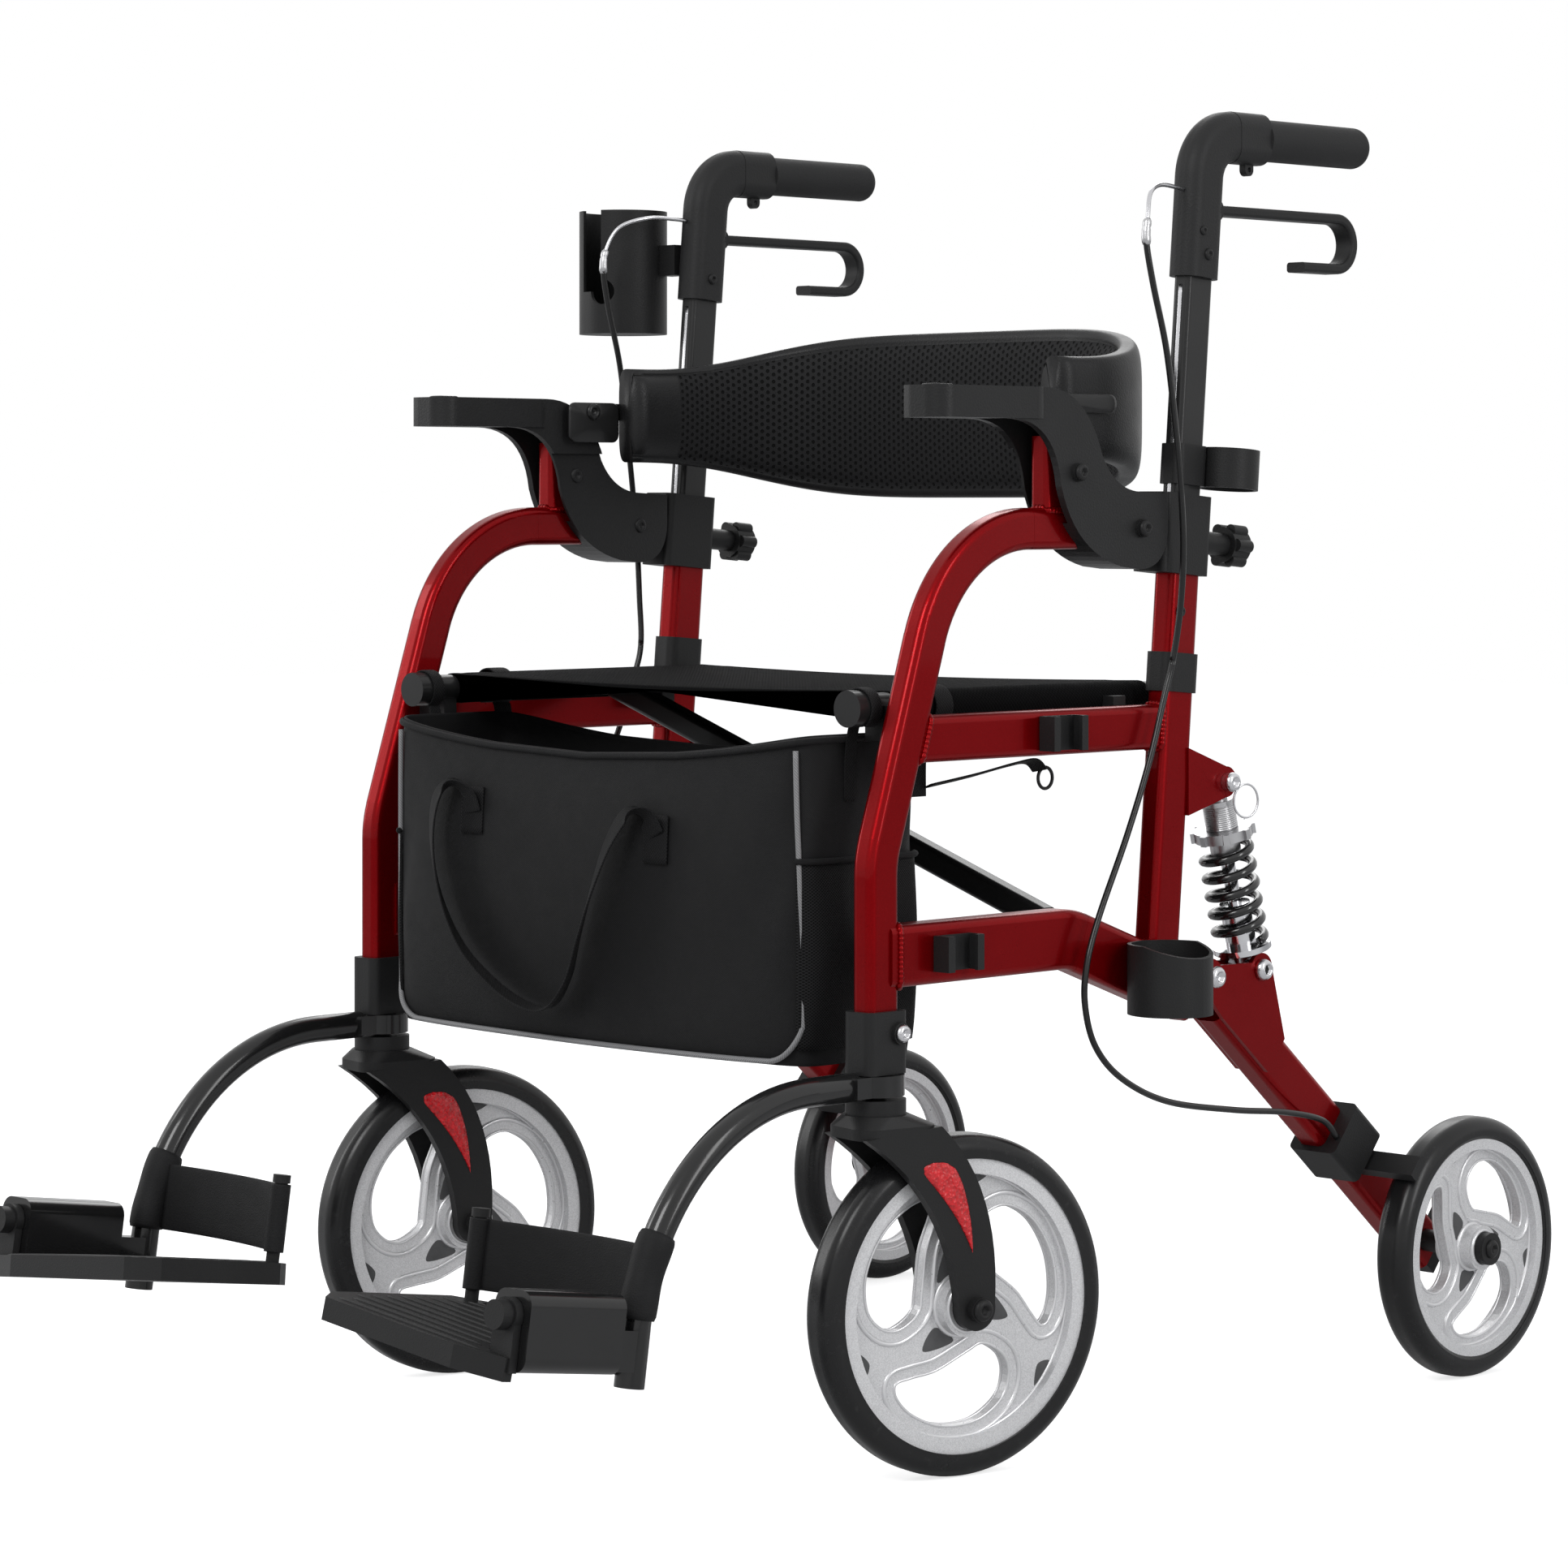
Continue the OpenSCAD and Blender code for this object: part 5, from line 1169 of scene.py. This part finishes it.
class CHAIR_OT_seat(bpy.types.Operator):
    """Seat cloth stretched over the two seat tubes, with hemmed edges"""

    bl_idname = "chair.seat"
    bl_label = "Seat"

    def execute(self, context):
        x = np.linspace(-SEAT_X, SEAT_X, 61)
        arc = np.radians(np.linspace(90, -110, 15))
        sleeve = coords(SEAT_X + SLEEVE_R * np.cos(arc), SEAT_Z + SLEEVE_R * np.sin(arc))
        span = coords(x, SEAT_Z + SLEEVE_R - SEAT_SAG * (1 - (x / SEAT_X) ** 2))
        top = np.vstack([(sleeve[::-1] * (-1, 1))[:-1], span, sleeve[1:]])
        t = unit(np.gradient(top, axis=0))
        thick = np.full(len(top), SLEEVE_T)
        thick[SLEEVE_COLUMNS:-SLEEVE_COLUMNS] = SEAT_T
        under = top - coords(-t[:, 1], t[:, 0]) * thick[:, None]
        loop = np.vstack([top, under[::-1]])
        centre = (loop + np.vstack([under, top[::-1]])) / 2
        middle = np.linspace(SEAT_FRONT + EDGE_IN[3], SEAT_BACK - EDGE_IN[3], 76)
        y = np.concatenate([SEAT_FRONT + EDGE_IN[:3], middle, SEAT_BACK - EDGE_IN[2::-1]])
        edge = np.minimum(y - SEAT_FRONT, SEAT_BACK - y)
        pinch = np.interp(edge, EDGE_IN, EDGE_SHARE)
        flat = centre[None] + (loop - centre)[None] * pinch[:, None, None]
        hem = np.exp(-((edge - HEM_IN) / HEM_WIDE) ** 2)
        flat[:, :len(top), 1] -= HEM_DEEP * hem[:, None]
        run = run_length(top)
        uv = coords(np.concatenate([run, run[::-1]])[None, :], y[:, None])
        grid = coords(flat[..., 0], y[:, None], flat[..., 1])
        seat = piece("seat_cloth", [skin(grid, uv=uv)], seat_weave(), None)
        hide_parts("seat_sling")
        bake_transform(seat)
        return {"FINISHED"}


BAG_HALF_X, BAG_FRONT, BAG_BACK = 230.0, -35.0, 105.0
BAG_MID_Y, BAG_HALF_Y = (BAG_FRONT + BAG_BACK) / 2, (BAG_BACK - BAG_FRONT) / 2
BAG_LOW, BAG_TOP, BAG_WALL = 296.0, 538.0, 2.4
BAG_FOOT, BAG_RISE = BAG_LOW + 1.5, BAG_TOP - BAG_LOW - 2.5
BAG_ROUND = 2 / 9
FLOOR_SHARES = np.array([0.02, 0.3, 0.6, 0.85, 0.95])[:, None, None]
# The right half of the front's piping, across and up: side, corner's middle and radius, foot and middle
PIPING_SIDE, PIPING_FOOT = ((220, 526), (221, 480), (222.5, 430), (223.5, 380)), ((150, 299), (80, 298))
PIPING_CORNER, PIPING_BEND_R, PIPING_MID = (193, 331), 31, (0, 297.5)
PIPING_R, PIPING_OUT = 2.1, 3.0
BINDING_AT, BINDING_OUT, BINDING_R = 0.985, 1.0, 2.6
# The carry strap from end to end: place across, height and distance in front of the bag
CARRY = np.array([
    (-119, 466, 2.4), (-123, 480, 5), (-138, 487, 10), (-152, 474, 13), (-155, 440, 13), (-141, 398, 14),
    (-112, 360, 15), (-65, 331, 16), (-23, 323, 16), (5, 345, 16), (22, 382, 16), (38, 420, 16),
    (52, 453, 14), (66, 474, 10), (80, 473, 5), (88, 458, 2.4)])
CARRY_LEAN = ((0, 0.12, 0.3, 0.5, 0.7, 0.9, 1), (4, 20, 40, 62, 45, 16, 4))
CARRY_WIDE, CARRY_THICK = 24, 2.0
# The strap's ends are sewn on as patches, below these places across and up
PATCHES = ((-119, 486), (89, 474))
PATCH_LONG, PATCH_WIDE, PATCH_THICK, PATCH_OUT = 36, 25, 2.2, 1.6
POCKET_TURN, POCKET_LOW, POCKET_HIGH, POCKET_PUFF = 0.62, 0.05, 0.62, 6.0
# The hanging loops: radius and turn round the seat tube, place along the chair with width, tail on the bag
LOOP_R, LOOP_TURN, LOOP_THICK = 14.6, (-60, 240), 1.6
LOOPS = ((20.0, 11), (92.0, 18))
LOOP_TAIL = ((234, 543), (231, 530), (229.5, 512), (229.5, 488))
# The snap hook's strap, from the bag's side to its ring, and the ring's middle
SNAP_STRAP = ((236, 97, 496), (250, 130, 503), (259, 162, 510), (263, 180, 512), (264, 189, 505))
SNAP_MID, SNAP_R, SNAP_WIRE_R = (264.0, 195.0, 499.0), 8.0, 1.3
SNAP_WIDE, SNAP_THICK, SNAP_LEAN = 14, 1.6, (1, 0, 0.3)


def bag_point(a, h, bulge, sag, grow=0.0):
    """A point on the bag's outside: a is the turn round it, h the share of its height.
    The outline is a rounded box that swells at mid height, and its upper edge dips between the corners."""
    x, y = signed(np.cos(a), BAG_ROUND), signed(np.sin(a), BAG_ROUND)
    swell = bulge * np.sin(np.pi * np.clip(h, 0, 1)) ** 0.8
    low = 1 - 0.06 * (1 - np.clip(h / 0.12, 0, 1)) ** 2
    px = (BAG_HALF_X - 2 + grow + 0.3 * swell * (1 - y**2)) * x * (0.985 + 0.015 * low)
    py = BAG_MID_Y + (BAG_HALF_Y - 3 + grow + swell * (1 - x**2)) * y * low
    dip = sag * (1 - x**2) * np.clip((h - 0.35) / 0.65, 0, 1) ** 2
    droop = 1.2 * (1 - x**2) * (1 - np.clip(h / 0.3, 0, 1)) ** 2
    return coords(px, py, BAG_FOOT + BAG_RISE * h - dip - droop)


def bag_front(x, z, lift, bulge):
    """A point lift millimetres in front of the bag, at x across and z up."""
    a = 2 * np.pi - np.arccos(signed(np.clip(x / (BAG_HALF_X - 2), -1, 1), 1 / BAG_ROUND))
    return coords(x, bag_point(a, (z - BAG_FOOT) / BAG_RISE, bulge, 0.0)[..., 1] - lift, z)


def bag_shell(bulge, sag):
    """The bag's outside, rippled by two crossing waves, its inside one wall further in, and its floor."""
    a = turns(240)
    h = np.concatenate([np.linspace(0, 0.04, 5), np.linspace(0.06, 0.94, 44), np.linspace(0.96, 1.0, 6)])
    outside = bag_point(a[None, :], h[:, None], bulge, sag)
    ripple = (1.6 * np.sin(5 * a)[None, :] * np.sin(2.4 * np.pi * h)[:, None]
              + 1.2 * np.sin(9 * a + 1.0)[None, :] * np.sin(4.1 * np.pi * h + 0.6)[:, None])
    centre = outside.mean(axis=1, keepdims=True)
    away = unit((outside - centre) * (1, 1, 0))
    outside = outside + away * (ripple * np.sin(np.pi * h)[:, None])[..., None]
    inside = outside - away * BAG_WALL
    inside[..., 2] = np.maximum(inside[..., 2], BAG_LOW + 4.5)
    below = centre[0] + (outside[0] - centre[0]) * FLOOR_SHARES
    above = centre[0] + (inside[0] - centre[0]) * FLOOR_SHARES[::-1]
    grid = np.concatenate([below, outside, inside[::-1], above])
    return skin(grid, uv=coords(run_length(outside[25])[None, :], run_length(grid[:, 10])[:, None]))


def bag_pocket(s, bulge):
    """A net pocket on side s and its hem: a patch of the bag's outside that puffs out between its edges."""
    def turn(n, share):
        a = np.linspace(-POCKET_TURN, POCKET_TURN, n) * share
        return a if s > 0 else np.pi - a
    a = turn(30, 0.98)
    h = np.linspace(POCKET_LOW, POCKET_HIGH, 24)
    puff = POCKET_PUFF * np.sin(np.pi * np.linspace(0, 1, 24))[:, None] * np.cos(np.linspace(-1.5, 1.5, 30))
    outside = bag_point(a[None, :], h[:, None], bulge, 0.0, 2.0)
    outside = outside + (s, 0, 0) * puff[..., None]
    inside = bag_point(a[None, :], h[:, None], bulge, 0.0, 0.6)[:, ::-1]
    across = np.concatenate([outside[0, :, 1], inside[0, :, 1]])
    net = skin(np.concatenate([outside, inside], 1), uv=coords(across[None, :], (h * 240)[:, None]))
    return net, tube(bag_point(turn(40, 1), POCKET_HIGH, bulge, 0.0, 2.6), 2.4, 8, Z_WAY)


class CHAIR_OT_bag(bpy.types.Operator):
    """Nylon bag under the seat with piping, carry strap, netted side pockets and hanging loops"""

    bl_idname = "chair.bag"
    bl_label = "Bag"

    def execute(self, context):
        sizes = context.scene.chair_sizes
        bulge, sag = sizes.bag_bulge * MM, sizes.bag_sag * MM
        bag = piece("bag_shell", [bag_shell(bulge, sag)], bag_nylon(), "right_frame")
        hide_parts("bag")
        made = [bag]
        # Piping down both sides of the front and along its foot, round two corners
        bend = np.radians(np.linspace(0, 90, 9))
        corner = PIPING_CORNER + PIPING_BEND_R * coords(np.cos(bend), -np.sin(bend))
        half = np.vstack([PIPING_SIDE, corner, PIPING_FOOT])
        edge = np.vstack([half, PIPING_MID, (half * (-1, 1))[::-1]])
        path = smooth_line(bag_front(*edge.T, PIPING_OUT, bulge), 5)
        made.append(piece("bag_piping", [tube(path, PIPING_R, 10, Y_WAY)], grey_piping(), "right_frame"))
        strap = smooth_line(bag_front(*CARRY.T, bulge), 8)
        lean = np.radians(np.interp(np.linspace(0, 1, len(strap)), *CARRY_LEAN))
        made.append(piece("bag_carry_strap", [band(strap, CARRY_WIDE, CARRY_THICK,
                                                   coords(np.cos(lean), -np.sin(lean), 0))],
                          webbing(), "right_frame"))
        patches = []
        for x, high in PATCHES:
            line = bag_front(np.full(8, x), np.linspace(high, high - PATCH_LONG, 8), PATCH_OUT, bulge)
            patches.append(band(line, PATCH_WIDE, PATCH_THICK, X_WAY))
        made.append(piece("bag_strap_ends", patches, webbing(), "right_frame"))
        edge = bag_point(turns(240), BINDING_AT, bulge, sag, BINDING_OUT)
        rim = tube(edge, BINDING_R, 8, Z_WAY, closed=True)
        made.append(piece("bag_rim_binding", [rim], strap_nylon(), "right_frame"))
        nets, hems = zip(*(bag_pocket(s, bulge) for _, s in SIDES))
        made.append(piece("bag_net_pockets", nets, pocket_net(), "right_frame"))
        made.append(piece("bag_pocket_hems", hems, strap_nylon(), "right_frame"))
        turn = np.radians(np.linspace(*LOOP_TURN, 30))
        for (side, s), bar in zip(SIDES, ("fold_b", "fold_a")):
            loops = []
            for y, width in LOOPS:
                ring = coords(SEAT_X + LOOP_R * np.cos(turn), y, SEAT_Z + LOOP_R * np.sin(turn))
                tail = smooth_line([(x, y, z) for x, z in LOOP_TAIL], 6)
                loops.append(band(np.vstack([ring, tail[1:]]) * (s, 1, 1), width, LOOP_THICK, Y_WAY))
            piece(side + "_bag_loops", loops, webbing(), bar)
        snap = band(smooth_line(SNAP_STRAP, 6), SNAP_WIDE, SNAP_THICK, SNAP_LEAN)
        piece("snap_strap", [snap], webbing(), "right_frame")
        turn = turns(32)
        ring = SNAP_MID + SNAP_R * coords(0, np.cos(turn), np.sin(turn))
        piece("snap_ring", [tube(ring, SNAP_WIRE_R, 10, closed=True)], satin_black(), "right_frame")
        for obj in made:
            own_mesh(obj)
        return {"FINISHED"}


PLATE_TILT = math.radians(6)
HEEL = np.array([-163.0, 60.0])
# The heel strap seen along its width: from the heel post, by a bend, to the hanger
STRAP_START, STRAP_BEND, STRAP_END = HEEL + (6.4, 1.8), (-80.0, HEEL[1] + 30), (-11.8, 71.6)
STRAP_LOW, STRAP_HIGH, STRAP_HEM, STRAP_THICK = -0.6, 49.2, 0.8, 2.5
HEEL_LOOP_OUT, HEEL_LOOP_IN = 7.4, 5.4
RIB_R, RIB_SPAN, RIB_LIFT = 1.5, 66.0, 0.1
# A rib's ends: outer end, the same at the cut corners, inner end in front of the pin, and the same beside it
RIB_FAR, RIB_FAR_CUT, RIB_NEAR, RIB_NEAR_PIN, PIN_FROM = -170, -158, -8, -22, -56
# The stretch of the hanger's bend that the strap wraps: bend's centre in (y, z) and radius
HANGER_BEND, HANGER_BEND_R = (-68.0, 118.0), 170.0
WRAP_R, WRAP_END_R, WRAP_WAVE, WRAP_TURN = 13.1, 12.3, 0.35, (10.6, 30.4)


def foot_point(points, s):
    """Points round a footrest's flip axis, x outwards, y back along the pitched block and z up from it."""
    p = np.asarray(points, float)
    c, sn = math.cos(FOOT_PITCH), math.sin(FOOT_PITCH)
    return on_side(coords(p[..., 0], FOOT_AXIS[0] + p[..., 1] * c + p[..., 2] * sn,
                          FOOT_AXIS[1] - p[..., 1] * sn + p[..., 2] * c), s)


def plate_top(x):
    """Height of the footrest plate's upper face at x: a slope that falls outwards."""
    return -27.3 + (14.0 - np.asarray(x, float)) * math.tan(PLATE_TILT)


def heel_ring(r, levels):
    """Circles of radius r round the heel post, one at each level."""
    a = turns(40)
    return coords(HEEL[0] + r * np.cos(a), HEEL[1] + r * np.sin(a), levels[:, None])


def plate_rib(k, count):
    """The line and radii of rib k across a footrest plate, shorter at the plate's cut corners and pin."""
    v = RIB_SPAN * (2 * k / (count - 1) - 1)
    far = RIB_FAR if 1 < k < count - 2 else RIB_FAR_CUT
    near = RIB_NEAR if v < PIN_FROM else RIB_NEAR_PIN
    x = np.linspace(far, near, 30)
    taper = np.sqrt(np.clip(1 - np.linspace(-1, 1, 30) ** 10, 0.02, 1))
    return coords(x, v, plate_top(x) + RIB_LIFT), RIB_R * taper


class CHAIR_OT_footrests(bpy.types.Operator):
    """Heel straps with the loops at their ends, and the ribs on the footrest plates"""

    bl_idname = "chair.footrests"
    bl_label = "Footrest details"

    def execute(self, context):
        count = context.scene.chair_sizes.rib_count
        up = (0, math.sin(FOOT_PITCH), math.cos(FOOT_PITCH))
        line = bezier(STRAP_START, STRAP_BEND, STRAP_END, 48)
        path = coords(*line.T, (STRAP_LOW + STRAP_HIGH) / 2)
        edge = np.array([STRAP_LOW, STRAP_LOW + STRAP_HEM, STRAP_HIGH - STRAP_HEM, STRAP_HIGH])
        loop = np.concatenate([heel_ring(HEEL_LOOP_OUT, edge), heel_ring(HEEL_LOOP_IN, edge[::-1])])
        turn = np.radians(np.linspace(*WRAP_TURN, 20))
        mid = coords(0, HANGER_BEND[0] - HANGER_BEND_R * np.cos(turn),
                     HANGER_BEND[1] + HANGER_BEND_R * np.sin(turn))
        wrap = WRAP_R + WRAP_WAVE * np.sin(np.linspace(0, 3 * np.pi, 20))
        wrap[[0, -1]] = WRAP_END_R
        for side, s in SIDES:
            parts = [band(foot_point(path, s), STRAP_HIGH - STRAP_LOW, STRAP_THICK, up),
                     skin(foot_point(loop, s), close_n=True), tube(on_side(mid, s), wrap, 28)]
            heel = piece(side + "_heel_band", parts, strap_vinyl(), None)
            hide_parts(side + "_heel_strap")
            ends = [row(foot_point((-18, 72, 24), s)), row(foot_point((-150, 64, 24), s))]
            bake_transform(heel)
            ribs = [plate_rib(k, count) for k in range(count)]
            piece(side + "_plate_ribs", [tube(foot_point(rib, s), size, 8, Y_WAY) for rib, size in ribs],
                  satin_black(), side + "_plate")
        return {"FINISHED"}


GROUPS = (("chair_finish", ChairFinish), ("chair_sizes", ChairSizes), ("chair_stage", ChairStage))
STEPS = (CHAIR_OT_stage, CHAIR_OT_cables, CHAIR_OT_frame_paint, CHAIR_OT_welds, CHAIR_OT_wheels,
         CHAIR_OT_reflectors, CHAIR_OT_screws, CHAIR_OT_shocks, CHAIR_OT_handles, CHAIR_OT_back,
         CHAIR_OT_seat, CHAIR_OT_bag, CHAIR_OT_footrests)


class CHAIR_PT_panel(bpy.types.Panel):
    """Lists the chair's settings and the steps that dress it"""

    bl_idname = "CHAIR_PT_panel"
    bl_label = "Chair"
    bl_space_type = "VIEW_3D"
    bl_region_type = "UI"
    bl_category = "Chair"

    def draw(self, context):
        for name, group in GROUPS:
            box = self.layout.box()
            for key in group.__annotations__:
                box.prop(getattr(context.scene, name), key)
        for step in STEPS:
            self.layout.operator(step.bl_idname)


CLASSES = (*(group for _, group in GROUPS), *STEPS, CHAIR_PT_panel)


def register():
    for cls in CLASSES:
        bpy.utils.register_class(cls)
    for name, group in GROUPS:
        setattr(bpy.types.Scene, name, PointerProperty(type=group))


def unregister():
    for name, _ in GROUPS:
        delattr(bpy.types.Scene, name)
    for cls in reversed(CLASSES):
        bpy.utils.unregister_class(cls)


def main():
    register()
    for step in STEPS:
        getattr(bpy.ops.chair, step.bl_idname.removeprefix("chair."))()


if __name__ == "__main__":
    main()
